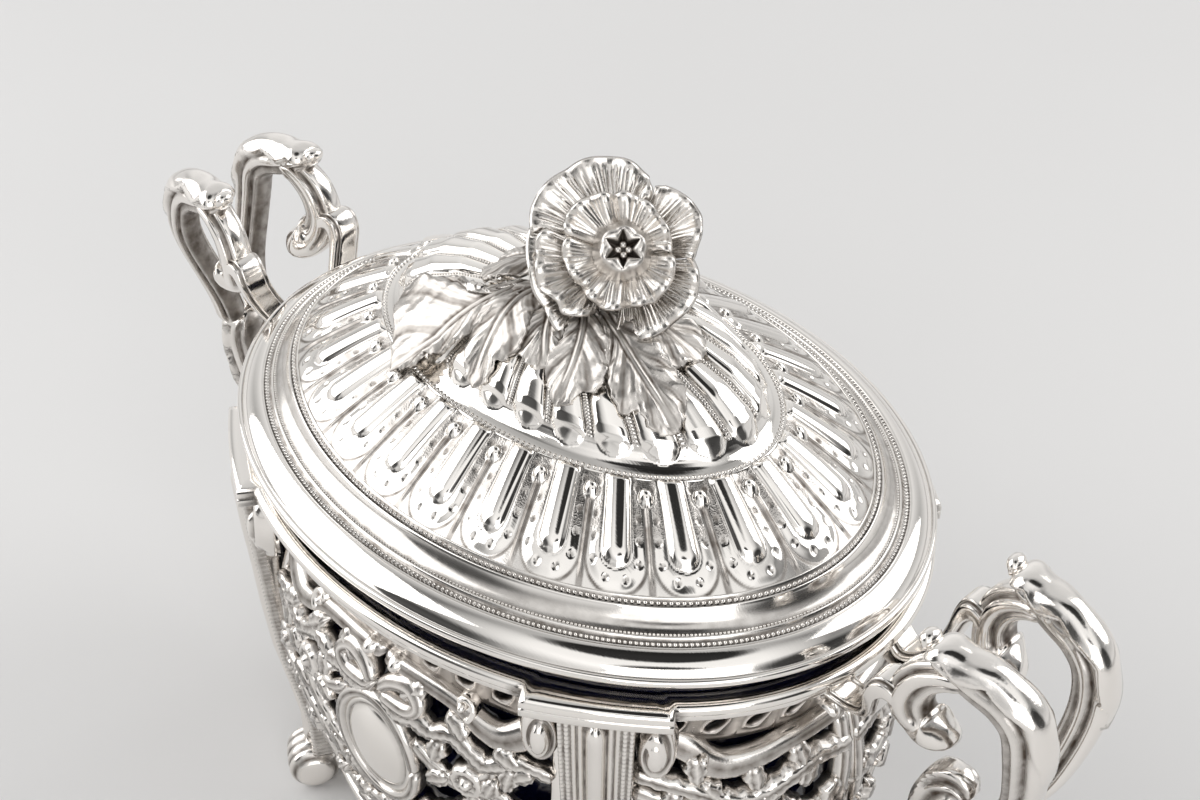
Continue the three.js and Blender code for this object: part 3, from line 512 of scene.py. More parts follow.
hollow = (1.7 * groove + 0.7 * between * ease(to_edge, 0.7, 0.4) + 0.15 * between + 0.55 * flute_line
          + 0.75 * dots + 0.62 * stippled)
hollow = np.clip(hollow, 0, 1) * (from_bead >= bead_radius)
band = slab(share, inset, top, base - SHEET, 16, hollow=hollow, stipple=stippled)
lid_lobes = set_round("lid_lobed_band", band, lobe_count, 19, punched, -0.1)
join_body(lid_lobes, "lid", "polished_silver")


# Dome of the lid: a smooth hollow, then 24 round-ended gadroons up to the calyx, beaten up from
# behind and chased.
dome_line = np.array([
    (27.2, 18.0), (27.6, 18.05), (28.2, 18.25), (29.2, 18.65), (30.2, 19.35), (31.0, 20.3), (31.6, 21.3),
    (33.0, 22.5), (37.4, 25.2), (44.0, 27.6), (53.0, 28.8), (58.0, 29.0), (64.5, 29.2),
])
gadroon_count = 24


def dome_top(inset):
    return LID_EDGE + np.interp(inset, dome_line[:, 0], dome_line[:, 1])


def gadroon_pitch(inset):
    return 7.6 - (inset - 31.5) * 0.2


rows = [(27.1, 29.8, 10), (29.95, 34.6, 28), (35.2, 50, 20), (52, 64.5, 6)]
inset = np.concatenate([np.linspace(*row) for row in rows])[:, None]
share = np.linspace(-0.5, 0.5, 41)[None, :]
base = dome_top(inset)
pitch = np.maximum(gadroon_pitch(inset), 2.6)
seam = 0.7
across = np.abs(share) * pitch / (pitch / 2 - seam)
start = 29.9 + 2.4 * (1 - rounded(across))
swell = rounded(across, 2.6) * np.sqrt(np.clip(inset - start, 0, 1))
swell = swell * np.minimum(pitch / 6.5, 1) * ease(inset, 62, 48)
channel = ease(across, 0.97, 1.03) * ease(inset, 30.6, 32.4) * ease(inset, 58, 50)
top = base + 1.35 * swell - 0.2 * channel
gadroon = slab(share, inset, top, base - SHEET, hollow=0.9 * channel)
lid_dome = set_round("lid_dome", gadroon, gadroon_count, 33, burnished, 0.14)
join_body(lid_dome, "lid", "polished_silver")


# Milled lines and bead rows of the lid: rolled wire and punched beads laid in the channels, and
# a row of small teeth in each seam between the gadroons.
BARREL_TURN = 6


def barrel(half_share, inset, half_inset, z, rise):
    """A small rounded bead that lies across the line, drawn as a half barrel."""
    turns = np.linspace(0, np.pi, BARREL_TURN)
    rows = []
    for place, swell in ((-1, 0.45), (-0.6, 0.9), (0, 1), (0.6, 0.9), (1, 0.45)):
        across = half_share * swell * np.cos(turns)
        along = np.full(BARREL_TURN, inset + place * half_inset)
        rows.append(np.stack([across, along, z + rise * swell * np.sin(turns) - 0.1], -1))
    last = (len(rows) - 1) * BARREL_TURN
    faces = grid_faces(len(rows), BARREL_TURN).tolist()
    faces += [list(range(BARREL_TURN)), list(range(last, last + BARREL_TURN))[::-1]]
    faces += [[i, i + BARREL_TURN - 1, i + 2 * BARREL_TURN - 1, i + BARREL_TURN]
              for i in range(0, last, BARREL_TURN)]
    return np.concatenate(rows), faces, {"hollow": np.repeat([0.8, 0.4, 0.15, 0.4, 0.8], BARREL_TURN)}


for name, count, inset, half_inset, height, rise in [
    ("lid_milled_outer", 400, 5.68, 0.5, 3.05, 0.36),
    ("lid_milled_inner", 520, 7.12, 0.3, 3.72, 0.26),
    ("lid_beads_outer", 310, 10.7, 0.42, 7.0, 0.42),
    ("lid_beads_inner", 208, 27.75, 0.42, 18.1, 0.42),
]:
    bead = barrel(0.36, inset, half_inset, LID_EDGE + height, rise)
    join_body(set_round(name, bead, count, inset, burnished), "lid", "polished_silver")

tooth, tooth_faces, _ = barrel(0.42, 0, 0.4, 0, 0.5)
teeth, faces = [], []
for i, at in enumerate(np.arange(31.6, 50, 0.62)):
    teeth.append(np.stack([tooth[:, 1] / gadroon_pitch(at), at + tooth[:, 0] * 0.7,
                           tooth[:, 2] + dome_top(at) - 0.1], -1))
    faces += [[corner + len(tooth) * i for corner in f] for f in tooth_faces]
teeth = np.concatenate(teeth)
seam_row = (teeth, faces, {"hollow": np.repeat(0.3, len(teeth))})
milled_seams = set_round("lid_milled_seams", seam_row, gadroon_count, 33, burnished, 0.64)
join_body(milled_seams, "lid", "polished_silver")


# Leaves of the finial: seven leaves soldered round the stem, lying over the dome. Each is a thin
# cast plate, chased with a midrib and side veins, with a lobed and serrated edge.
def sheet_part(front, thickness, hollow):
    """Closed plate behind a grid of points, offset back along the grid's own normals."""
    along = np.gradient(front, axis=0)
    across = np.gradient(front, axis=1)
    normal = np.cross(across, along)
    normal /= np.maximum(np.linalg.norm(normal, axis=-1, keepdims=True), 1e-9)
    rows, columns = front.shape[:2]
    count = rows * columns
    points = np.concatenate([front.reshape(-1, 3), (front + normal * thickness).reshape(-1, 3)])
    grid = np.arange(count).reshape(rows, columns)
    edge = np.concatenate([grid[0, :-1], grid[:-1, -1], grid[-1, :0:-1], grid[:0:-1, 0]])
    wall = np.stack([edge, np.roll(edge, -1), np.roll(edge, -1) + count, edge + count], -1)
    faces = np.concatenate([grid_faces(rows, columns)[:, ::-1], grid_faces(rows, columns) + count, wall])
    shade = np.broadcast_to(hollow, (rows, columns)).ravel()
    return points, faces, {"hollow": np.concatenate([shade, np.zeros(count)])}


def turned_out(points, faces):
    """The faces of one closed shell, reversed where its volume comes out negative."""
    middle = points - points.mean(0)
    volume = 0.0
    for corner_count in {len(f) for f in faces}:
        corners = np.array([f for f in faces if len(f) == corner_count])
        for k in range(1, corner_count - 1):
            a, b, c = (middle[corners[:, i]] for i in (0, k, k + 1))
            volume += np.einsum("ij,ij->", a, np.cross(b, c))
    return faces if volume > 0 else [tuple(f)[::-1] for f in faces]


def joined(parts):
    """Several drawn parts as one, for a piece that was soldered or cast together."""
    points, faces, tarnish_and_shade_parts, first = [], [], [], 0
    for part_points, part_faces, part_marks in parts:
        part_points = np.asarray(part_points).reshape(-1, 3)
        part_faces = turned_out(part_points, part_faces)
        points.append(part_points)
        faces += [tuple(np.asarray(f) + first) for f in part_faces]
        tarnish_and_shade_parts.append(np.ravel(part_marks["hollow"]))
        first += len(part_points)
    return np.concatenate(points), faces, {"hollow": np.concatenate(tarnish_and_shade_parts)}


def dome_height(x, y):
    """Smooth height of the dome below a leaf, drawn on past the dome's edge."""
    low, high = np.full(np.shape(x), 0.5), np.full(np.shape(x), LID_HALF)
    for _ in range(30):
        r = 0.5 * (low + high)
        outside = (x / r) ** 2 + (y / half_width(r)) ** 2 > 1
        low, high = np.where(outside, r, low), np.where(outside, high, r)
    return LID_EDGE + 29.9 - 6.8 * (low / 35) ** 3


def curve_through(rows, count):
    """Smooth row of points, widths and other values through the drawn ones."""
    rows = np.asarray(rows, float)
    padded = np.concatenate([2 * rows[:1] - rows[1:2], rows, 2 * rows[-1:] - rows[-2:-1]])
    steps = np.linalg.norm(np.diff(rows[:, :2], axis=0), axis=1)
    knots = np.concatenate([[0], np.cumsum(np.maximum(steps, 1e-6))])
    at = np.linspace(0, knots[-1], count)
    k = np.clip(np.searchsorted(knots, at, "right") - 1, 0, len(rows) - 2)
    t = ((at - knots[k]) / (knots[k + 1] - knots[k]))[:, None]
    a, b, c, d = (padded[k + i] for i in range(4))
    squares = (2 * a - 5 * b + 4 * c - d) * t ** 2
    cubes = (3 * b - a - 3 * c + d) * t ** 3
    return 0.5 * (2 * b + (c - a) * t + squares + cubes)


# Each leaf: its midrib, its right and its left edge between the same two ends, its lift and its
# side veins. The third one has two blades.
leaves = [
    [([(-3.4, -4.6), (-6.6, -11.4), (-12.6, -19.4), (-19.0, -25.8)],
      [(-6.4, -9.6), (-10.4, -13.6), (-14.6, -12.6), (-20.5, -12.4), (-26.2, -14.0), (-26.4, -17.6),
       (-23.4, -20.6), (-21.2, -23.2)],
      [(-3.4, -10.6), (-5.6, -15.6), (-7.8, -19.4), (-10.8, -21.2), (-14.0, -23.4), (-16.0, -24.6)], 2.2, 5)],
    [([(-1.4, -5.4), (-2.8, -12.0), (-2.6, -18.2), (-1.8, -23.0)],
      [(-4.0, -8.0), (-6.4, -13.6), (-6.6, -18.2), (-5.8, -20.8), (-4.4, -22.0)],
      [(0.6, -8.4), (2.0, -13.2), (2.9, -16.8), (1.6, -19.0), (0.4, -19.8), (0.0, -21.4)], 2.6, 3)],
    [([(1.6, -5.2), (3.2, -9.4), (5.4, -13.2), (8.3, -16.2)],
      [(0.4, -8.6), (1.2, -12.6), (2.6, -16.4), (5.0, -17.6), (6.8, -17.2)],
      [(4.0, -7.4), (6.4, -10.0), (8.0, -12.6), (8.6, -14.6)], 1.9, 3),
     ([(4.4, -4.2), (9.4, -8.6), (12.4, -13.8), (13.4, -19.0)],
      [(5.4, -7.6), (8.6, -11.4), (8.8, -14.8), (9.6, -17.2), (11.6, -18.6)],
      [(8.6, -5.2), (14.6, -8.6), (18.2, -12.6), (18.0, -15.2), (16.0, -16.2), (15.4, -17.8)], 2.6, 4)],
    [([(5.0, -2.6), (12.8, -5.6), (21.0, -8.2), (31.4, -9.8)],
      [(8.6, -6.2), (15.4, -9.6), (20.0, -13.6), (23.6, -14.4), (25.0, -12.8), (28.2, -12.4), (30.0, -11.6)],
      [(10.4, -1.6), (17.2, -2.6), (23.0, -3.4), (28.0, -5.0), (30.6, -7.6)], 2.1, 5)],
    [([(5.2, 1.2), (12.0, 0.6), (18.0, 0.6), (25.4, 2.4)],
      [(9.0, -1.6), (15.0, -3.2), (20.0, -4.2), (24.6, -3.0), (25.0, -0.4)],
      [(8.4, 3.8), (13.6, 5.6), (18.4, 4.8), (21.0, 6.2), (24.0, 4.8)], 2.6, 4)],
    [([(1.0, 5.2), (1.8, 9.6), (2.4, 13.4), (3.4, 17.4)],
      [(4.0, 7.8), (7.2, 10.8), (7.6, 13.8), (6.0, 16.4)],
      [(-2.0, 8.2), (-3.4, 12.2), (-2.4, 15.0), (0.4, 16.8)], 2.2, 3)],
    [([(-4.8, -0.8), (-8.4, -2.2), (-11.8, -3.4), (-15.4, -4.6)],
      [(-6.6, 1.8), (-10.4, 2.6), (-13.0, 0.2), (-15.0, -2.2)],
      [(-5.6, -4.6), (-8.4, -8.4), (-11.6, -10.4), (-14.2, -8.2)], 3.0, 3)],
]


def leaf_sheet(midrib, right_edge, left_edge, lift, veins):
    rows, columns, thickness = 84, 45, 0.8
    ends = np.array(midrib[0]), np.array(midrib[-1])
    heading = (ends[1] - ends[0]) / np.linalg.norm(ends[1] - ends[0])
    beside = np.array([-heading[1], heading[0]])
    v = np.linspace(0, 1, rows)[:, None]
    u = np.linspace(-1, 1, columns)[None, :]
    middle = curve_through(midrib, rows)[:, :2]
    edges = []
    for hand, edge in ((-1, right_edge), (1, left_edge)):
        line = [ends[0] + hand * beside * 0.7, *edge, ends[1] + hand * beside * 0.15]
        outward = curve_through(line, rows)[:, :2] - middle
        wide = np.linalg.norm(outward, axis=1, keepdims=True)
        tooth = 0.42 * (1 - (v * veins * 3.3) % 1) * ease(v, 0.3, 0.5) * ease(v, 1.0, 0.94)
        edges.append((outward / np.maximum(wide, 0.1) * (wide + tooth))[:, None, :])
    away = np.abs(u)
    flat = middle[:, None, :] + np.where(u[..., None] < 0, edges[0], edges[1]) * away[..., None]
    x, y = flat[..., 0], flat[..., 1]
    from_rib = np.linalg.norm(flat - middle[:, None, :], axis=-1)
    slanted = ((v - 0.24 * away ** 0.8) * veins + 0.2) % 1 - 0.5
    grown = ease(from_rib, 0.3, 1.2) * ease(v, 0.0, 0.1) * ease(v, 1.0, 0.9)
    vein = bell(slanted, 0, 1 / 9) * grown * ease(away, 1.02, 0.7)
    fine = np.cos(2 * np.pi * slanted * 5 + 3 * away) * grown
    puff = (0.5 - 0.5 * np.cos(2 * np.pi * slanted)) * grown
    rib = bell(from_rib, 0, 0.28) * ease(v, 1.0, 0.8)
    rib_side = bell(from_rib, 0.62, 0.22) * ease(v, 1.0, 0.7)
    crumple = np.sin(1.1 * x + 0.5 * y) * np.sin(0.9 * y - 0.4 * x + 1.0) + 0.5 * np.sin(2.3 * x - 1.4 * y)
    z = dome_height(x, y) + 1.0 + lift * np.sin(np.pi * np.clip(v, 0, 1) ** 0.8) ** 0.8 + 2.4 * (1 - v) ** 3
    z = z - 0.4 * away ** 2.4 + 0.7 * puff * (0.2 + away) + 0.14 * vein + 0.045 * fine
    z = z + 0.14 * rib - 0.16 * rib_side + 0.3 * crumple * away * ease(v, 0.05, 0.3)
    # Painted shade darkens each leaf towards its base under the flower and in the troughs between its puffs;
    # the channels by the midrib and the veins hold tarnish.
    hollow = 0.16 + 0.4 * ease(v, 0.75, 0.0) + 0.7 * rib_side + 0.4 * vein - 0.15 * fine
    hollow = hollow + 0.35 * ease(puff, 0.35, 0.0) * away
    return sheet_part(np.stack([x, y, z], -1), thickness, np.clip(hollow, 0, 1))


for number, blades in enumerate(leaves, 1):
    drawn = joined([leaf_sheet(*blade) for blade in blades])
    leaf = make_piece(f"finial_leaf_{number}_chased", drawn, chased)
    mark_hollows(leaf, 0.1)
    join_body(leaf, "lid", "polished_silver", f"finial_leaf_{number}")


# Flower of the finial: cast and chased, six overlapping outer petals, an inner corolla of five and
# a cone with a star-shaped opening that holds four small balls, all on a bent stem.
FLOWER = np.array([9.3, 0.3, LID_EDGE + 29.2 + 13.4])
tilt, swing = math.radians(46), math.radians(-45)
FLOWER_TURN = np.array(Matrix.Rotation(swing, 3, "Z") @ Matrix.Rotation(tilt, 3, "Y"))


def on_stem(drawn):
    """Sets a part of the flower, drawn upright, on the end of the bent stem."""
    return drawn[0] @ FLOWER_TURN.T + FLOWER, *drawn[1:]


def petal(edge, inner, floor, rise, roll, folds, phase):
    """Curved plate from a ring of radius inner out to its edge, drawn as [degrees, radius] rows."""
    rows, columns, thickness = 30, 112, 0.7
    by_degree = 0.2
    v = np.linspace(0, 1, rows)[:, None]
    u = np.linspace(-1, 1, columns)[None, :]
    drawn = curve_through([(degrees * by_degree, r, 0) for degrees, r in edge], columns)
    angle, reach = np.radians(drawn[None, :, 0] / by_degree), drawn[None, :, 1]
    count = np.ptp(angle) * reach.mean() / 0.85
    angle = angle.mean() + (angle - angle.mean()) * (0.8 + 0.2 * v)
    r = inner + (reach - inner) * v
    fold = np.cos(np.pi * folds * u + phase)
    streak = np.sin(np.pi * count * u + phase + 2.0 * np.sin(7 * u + 2 * v))
    streak = streak + 0.7 * np.sin(0.57 * np.pi * count * u - 2.5 * v)
    streak = streak + 0.6 * np.sin(0.31 * np.pi * count * u + 1.3)
    streak = streak * np.sin(np.pi * np.clip(v * 0.9 + 0.05, 0, 1)) ** 0.5 * ease(v, 0.97, 0.86)
    z = floor + rise * v ** 1.4 + 0.75 * fold * v ** 1.6 - roll * np.clip(v - 0.86, 0, 1) ** 2 * 50
    z = z + 0.1 * streak - 0.7 * np.abs(u) ** 7 + 0.14 * bell(v, 0.95, 0.05)
    front = np.stack([r * np.cos(angle), r * np.sin(angle), z], -1)
    # Painted shade: darker towards the heart of the flower and in the troughs of the streaks and folds,
    # lightening out to the rim.
    hollow = 0.5 - 0.3 * streak - 0.3 * fold * v + 0.7 * (0.5 - v) - 0.5 * ease(v, 0.9, 0.95)
    return on_stem(sheet_part(front, thickness, np.clip(hollow, 0, 1)))


outer_petals = [
    petal([(255, 15.0), (246, 16.0), (235, 16.6), (222, 16.6), (212, 16.4), (203, 16.5), (190, 16.2),
           (178, 15.6), (168, 14.2), (160, 13.2), (153, 10.4)], 3.4, -4.4, 1.6, 0.5, 4.2, 0.4),
    petal([(152, 12.0), (146, 13.0), (130, 13.7), (118, 14.1), (108, 13.6), (97, 12.2), (86, 11.4)],
          3.4, -4.4, 3.4, 0.6, 2.6, 2.4),
    petal([(86, 11.2), (74, 12.5), (64, 13.4), (50, 13.9), (34, 13.8), (18, 14.4), (4, 14.3), (-7, 13.6)],
          3.4, -4.0, 3.0, 0.7, 3.4, 1.1),
    petal([(352, 12.6), (345, 14.8), (338, 16.0), (328, 16.4), (316, 16.0), (305, 15.0)],
          3.4, -5.4, 2.2, 0.5, 1.4, 3.0),
    petal([(306, 15.0), (292, 15.4), (281, 15.2), (268, 15.3), (256, 15.4), (250, 15.0)],
          3.4, -5.0, 2.2, 0.4, 1.2, 0.2),
    petal([(333, 10.6), (324, 12.8), (314, 13.6), (306, 13.2), (296, 14.2), (284, 14.2), (272, 13.6),
           (261, 13.8), (254, 12.8)], 3.0, -2.8, 2.6, 0.5, 3.6, 2.2),
]
inner_petals = [
    petal([(252, 9.2), (246, 10.0), (234, 10.4), (222, 10.2), (210, 9.9), (200, 9.5), (191, 8.8)],
          1.8, -0.8, 2.6, 0.6, 2.4, 0.6),
    petal([(189, 8.8), (180, 9.1), (168, 8.9), (156, 8.6), (142, 8.2), (126, 7.9), (112, 7.8), (99, 7.6),
           (88, 7.4)], 1.8, -0.8, 2.4, 0.6, 3.2, 1.9),
    petal([(89, 7.2), (74, 8.4), (60, 8.9), (48, 9.1), (34, 9.4), (22, 9.2), (10, 9.0), (1, 8.6)],
          1.8, -1.1, 2.6, 0.7, 3.0, 0.2),
    petal([(3, 8.4), (-6, 9.4), (-14, 9.8), (-24, 9.4), (-36, 9.2), (-46, 8.4)],
          1.8, -0.7, 2.2, 0.6, 2.0, 2.8),
    petal([(315, 7.8), (304, 8.6), (292, 9.1), (280, 9.2), (268, 9.4), (258, 9.0)],
          1.8, -1.2, 2.8, 0.6, 1.8, 1.2),
]
for name, petals, node in [("flower_outer_corolla", outer_petals, "flower_outer_petals"),
                           ("flower_inner_corolla", inner_petals, "flower_inner_petals")]:
    join_body(make_piece(name, joined(petals), chased), "lid", "polished_silver", node)


def tube(points, hollow):
    """Closed part from rows of points that each run round it, with a flat cap at both ends."""
    rows, around = points.shape[:2]
    caps = [list(range(around))[::-1], list(range((rows - 1) * around, rows * around))]
    faces = grid_faces(rows, around, False, True).tolist() + caps
    return points.reshape(-1, 3), faces, {"hollow": np.broadcast_to(hollow, (rows, around)).copy()}


# Each row of the cone: its radius, its height, how far the star cuts it, its scales and its shade.
cone = np.array([
    (0.02, 1.3, 0, 0, 1), (0.9, 1.35, 0.8, 0, 1), (1.5, 1.6, 1, 0, 1), (2.0, 2.6, 1, 0, 0.9),
    (2.3, 3.3, 0.7, 0, 0.2), (2.7, 3.5, 0.2, 0.3, 0), (3.15, 3.3, 0, 1, 0.1), (3.7, 2.6, 0, 0.3, 0.35),
    (4.3, 1.4, 0, 1, 0.1), (4.8, 0.2, 0, 0.4, 0.3), (4.9, -1.4, 0, 0, 0.6), (0.02, -1.5, 0, 0, 1),
])
radius, height, starred, scaly, shade = cone.T[..., None]
angle = turns_of(96)[None, :]
star = 1 + (0.9 * (1 - np.abs(np.sin(3 * angle)) ** 0.6) - 0.25) * starred
scale = scaly * np.abs(np.cos(3 * angle + 0.5))
r = radius * star + 0.5 * scale
heart = [tube(np.stack([r * np.cos(angle), r * np.sin(angle), height + 0.3 * scale], -1), shade)]
ball_radius, ball_height = 0.62, 2.3
turn = turns_of(16)[None, :]
fall = np.linspace(0.08, np.pi - 0.08, 9)[:, None]
for x, y in ((0.1, 0.95), (0.1, -0.8), (0.95, 0.1), (-0.75, 0.05)):
    ball = [
        x + ball_radius * np.sin(fall) * np.cos(turn),
        y + ball_radius * np.sin(fall) * np.sin(turn),
        ball_height + ball_radius * np.cos(fall) * np.ones_like(turn),
    ]
    heart.append(tube(np.stack(ball, -1), 0))
flower_heart = make_piece("flower_heart", on_stem(joined(heart)), chased)
join_body(flower_heart, "lid", "polished_silver", "flower_centre")


# Rim of the frame: a flat oval plate with a band below its edge, cut from sheet, with a straight
# break-front over each leg. Polished.
tab_turn = math.radians(55)
tab_normal = np.array([math.cos(tab_turn), math.sin(tab_turn)])
tab_side = np.array([-math.sin(tab_turn), math.cos(tab_turn)])
tab_middle = np.array([44.5, 41.8])
tab_half, tab_bow = 12.2, 0.6
BEFORE_TAB, ON_TAB, AFTER_TAB = 40, 24, 24


def reach_to_oval(start, inset):
    """How far the oval at this inset lies from a point of the plan, the way the break-front faces."""
    a = LID_HALF - inset
    axes = np.array([a * a, float(half_width(a)) ** 2])
    p = (tab_normal ** 2 / axes).sum()
    q = 2 * (start * tab_normal / axes).sum()
    r = (start ** 2 / axes).sum() - 1
    return (-q + math.sqrt(max(q ** 2 - 4 * p * r, 0))) / (2 * p)


def tab_feet(inset, tab_inset):
    """Turns on the oval at which the two ends of the break-front meet it."""
    a = LID_HALF - inset
    turns = []
    for hand in (-1, 1):
        end = tab_middle + hand * (tab_half - tab_inset) * tab_side
        foot = end + tab_normal * reach_to_oval(end, inset)
        turns.append(math.atan2(foot[1] / float(half_width(a)), foot[0] / a))
    return turns


def rim_quarter(inset, tab_inset):
    """Plan line of the rim over a quarter turn, with the break-front drawn in on its outer rows."""
    a = LID_HALF - inset
    low, high = tab_feet(inset, tab_inset)
    turns = [*np.linspace(0, low, BEFORE_TAB), *np.linspace(low, high, ON_TAB + 2)[1:-1],
             *np.linspace(high, math.pi / 2, AFTER_TAB)]
    line = np.stack([a * np.cos(turns), half_width(a) * np.sin(turns)], -1)
    if inset < 4:
        t = np.linspace(-1, 1, ON_TAB)[:, None]
        out = tab_bow * (1 - t * t) - tab_inset
        straight = tab_middle + tab_side * t * (tab_half - tab_inset)
        line[BEFORE_TAB:BEFORE_TAB + ON_TAB] = straight + tab_normal * out
    return line


def four_quarters(line):
    half = np.concatenate([line, (line * [-1, 1])[::-1][1:]])
    return np.concatenate([half[:-1], (half * [1, -1])[::-1][:-1]])


# Rows of the rim's section: the inset of its oval, the inset of its break-front and its height.
rim_rows = [
    (4.2, 0.5, 84.2), (0.95, 0.5, 84.2), (0.6, 0.15, 84.25), (0.45, 0.0, 84.5), (0.4, 0.0, 85.6),
    (0.42, 0.02, 85.85), (0.6, 0.18, 85.95), (0.55, 0.2, 86.05), (0.0, 0.08, 86.12), (-0.3, 0.0, 86.3),
    (-0.4, 0.0, 86.6), (-0.38, 0.03, 87.1), (-0.25, 0.15, 87.5), (0.05, 0.45, 87.82), (0.6, 1.0, 88.05),
    (1.6, 2.0, 88.2), (3.0, 3.2, 88.32), (4.6, 3.2, 88.4), (8.7, 3.2, 88.4), (9.0, 3.2, 88.1),
    (9.0, 3.2, 86.6), (4.2, 0.5, 86.6),
]
rows = []
for inset, tab_inset, z in rim_rows:
    line = four_quarters(rim_quarter(inset, tab_inset))
    rows.append(np.column_stack([line, np.full(len(line), z)]))
points = np.array(rows)
rim = make_piece("rim_plate", (points, grid_faces(*points.shape[:2], True, True), {}), burnished)
mark_hollows(rim, 0.1)
join_body(rim, "bowl", "polished_silver", "rim_frame")


# Pierced frieze: a hollow band under the rim, in a darker silver that is painted shade, cut through with
# leaning ovals that each have a raised edge. One oval is drawn in its field and set round.
# A darker, browner silver: painted shade for the frieze under the overhang of the rim, also given to the
# plate under the glass.
shade_toned = silver_finish("toned_silver", silver=(0.80, 0.755, 0.71, 1), polish=0.2, cast_grain=0.5,
                      grime_amount=0.95)
FRIEZE_TOP, FRIEZE_BOTTOM = 83.9, 71.6
hole_height, hole_lean, pitch = 76.6, 0.6, 7.1


def frieze_inset(z):
    share = np.clip((FRIEZE_TOP - z) / (FRIEZE_TOP - FRIEZE_BOTTOM), 0, 1)
    return 3 + 4.4 * (1 - (1 - share) ** 2)


steps = 40
angle = turns_of(steps)
cosine, sine = math.cos(hole_lean), math.sin(hole_lean)
hole = np.stack([1.35 * np.cos(angle), 2.3 * np.sin(angle)], -1) @ np.array([[cosine, -sine], [sine, cosine]])
low, high = FRIEZE_BOTTOM - hole_height, FRIEZE_TOP - hole_height
field = []
for a in angle:
    dx, dz = math.cos(a), math.sin(a)
    reach = min((pitch / 2) / abs(dx) if dx else 1e9, (high if dz > 0 else -low) / abs(dz) if dz else 1e9)
    field.append((dx * reach, dz * reach))
field = np.array(field)
for corner in [(pitch / 2, high), (-pitch / 2, high), (-pitch / 2, low), (pitch / 2, low)]:
    field[np.argmin(np.hypot(*(field - corner).T))] = corner
# Rows from the hole's edge over the front and back again: share of the field, lift and shade.
FRIEZE_FRONT = 6
share, lift, shade = np.array([
    (0.0, -0.5, 1.0), (0.02, 0.1, 0.8), (0.14, 0.4, 0.0), (0.3, 0.35, 0.0), (0.42, 0.0, 0.7), (0.7, 0.0, 0.5),
    (1.0, 0.0, 0.3), (1.0, -1.3, 0.5), (0.5, -1.3, 0.5), (0.0, -1.3, 0.5),
]).T[..., None]
flat = hole + (field - hole) * share[..., None]
z = hole_height + flat[..., 1]
points = np.stack([flat[..., 0] / pitch, frieze_inset(z) - lift, z], -1)
at_side = np.abs(np.abs(flat[FRIEZE_FRONT, :, 0]) - pitch / 2) < 1e-6
faces = []
for face in grid_faces(len(share), steps, True, True).tolist():
    first, second = at_side[face[0] % steps], at_side[face[1] % steps]
    if not (first and second and all(i // steps in (FRIEZE_FRONT, FRIEZE_FRONT + 1) for i in face)):
        faces.append(face)
marks = {"hollow": np.broadcast_to(shade, (len(share), steps))}
frieze = set_round("frieze_pierced_band", (points, faces, marks), 48, 5, shade_toned, 0.5)
join_body(frieze, "bowl", "toned_silver", "frieze_band")


# Cast walls: four openwork panels between the legs. Scrolls, ribbons and leaves are strands that
# cross and hold one another, drawn on the belly by their distance along it and their height.
BELLY = 55.0
WALL_INSET = 3.8
loop_turns = np.linspace(0, 2 * np.pi, 4001)
loop = on_oval(loop_turns, WALL_INSET, 0)
loop_length = np.concatenate([[0], np.cumsum(np.linalg.norm(np.diff(loop, axis=0), axis=1))])
whole_loop = loop_length[-1]


def on_wall(middle, along, z, out):
    """Points by the wall's middle, a share of a turn, the way along from it, the height and the relief."""
    z = np.asarray(z, float)
    above = np.clip((z - BELLY) / 16.6, 0, 1.2)
    below = np.clip((BELLY - z) / 37, 0, 1.2)
    inset = WALL_INSET + 3.2 * above ** 2 + 7.1 * below ** 2
    turn = np.interp((middle * whole_loop + along) % whole_loop, loop_length, loop_turns)
    return on_oval(turn, inset - out, z)


def run_along(rows, step):
    """Smooth line through [u, v, width] rows, with its share and its sideways direction at each
    point, and its length."""
    length = sum(math.dist(a[:2], b[:2]) for a, b in zip(rows, rows[1:]))
    count = max(int(length / step), 8)
    line = curve_through(rows, count)
    tangent = np.gradient(line[:, :2], axis=0)
    tangent /= np.maximum(np.linalg.norm(tangent, axis=1, keepdims=True), 1e-9)
    sideways = np.stack([-tangent[:, 1], tangent[:, 0]], -1)[:, None, :]
    return line, np.linspace(0, 1, count)[:, None], sideways, length


def squared(wave, power):
    return np.sign(wave) * np.abs(wave) ** power


def strand(rows, lift=1.6, ribs=0, rib=0.3, scallops=0, beads=0, around=20, step=0.7):
    """Bar along a drawn line of [u, v, width]: its cross-section is a half round with lengthwise ribs.
    Gives points as (u, v, out)."""
    line, share, sideways, length = run_along(rows, step)
    from_end = np.minimum(share, 1 - share) * length / (0.35 * line[:, 2].mean() + 0.3)
    taper = rounded(1 - np.clip(from_end, 0, 1), least=0.0004)
    half = line[:, 2:] / 2 * taper * (1.2 if ribs else 1.0)
    if scallops:
        half = half * (0.8 + 0.36 * np.abs(np.sin(np.pi * scallops * share)))
    turn = turns_of(around)[None, :]
    width = squared(np.cos(turn), 0.8)
    raised = np.where(np.sin(turn) > 0, lift, 1.0) * squared(np.sin(turn), 0.75) * taper
    face = np.clip(np.sin(turn), 0, 1)
    wander = 0.036 * np.sin(2 * np.pi * scallops * share)
    between = bool(ribs) * (0.5 + 0.5 * np.cos(2 * np.pi * ribs * ((width + 1) / 2 + wander)))
    raised = raised - rib * between * face + 0.25 * np.abs(np.sin(np.pi * beads * share)) * face
    flat = line[:, None, :2] + sideways * (half * width)[..., None]
    # Painted shade darkens the back and flanks of each strand, where it turns to the wall; the grooves
    # between its ribs hold tarnish.
    hollow = np.clip(0.9 * between * face + 0.8 * (np.sin(turn) < 0.25), 0, 1)
    return tube(np.concatenate([flat, raised[..., None]], -1), hollow)


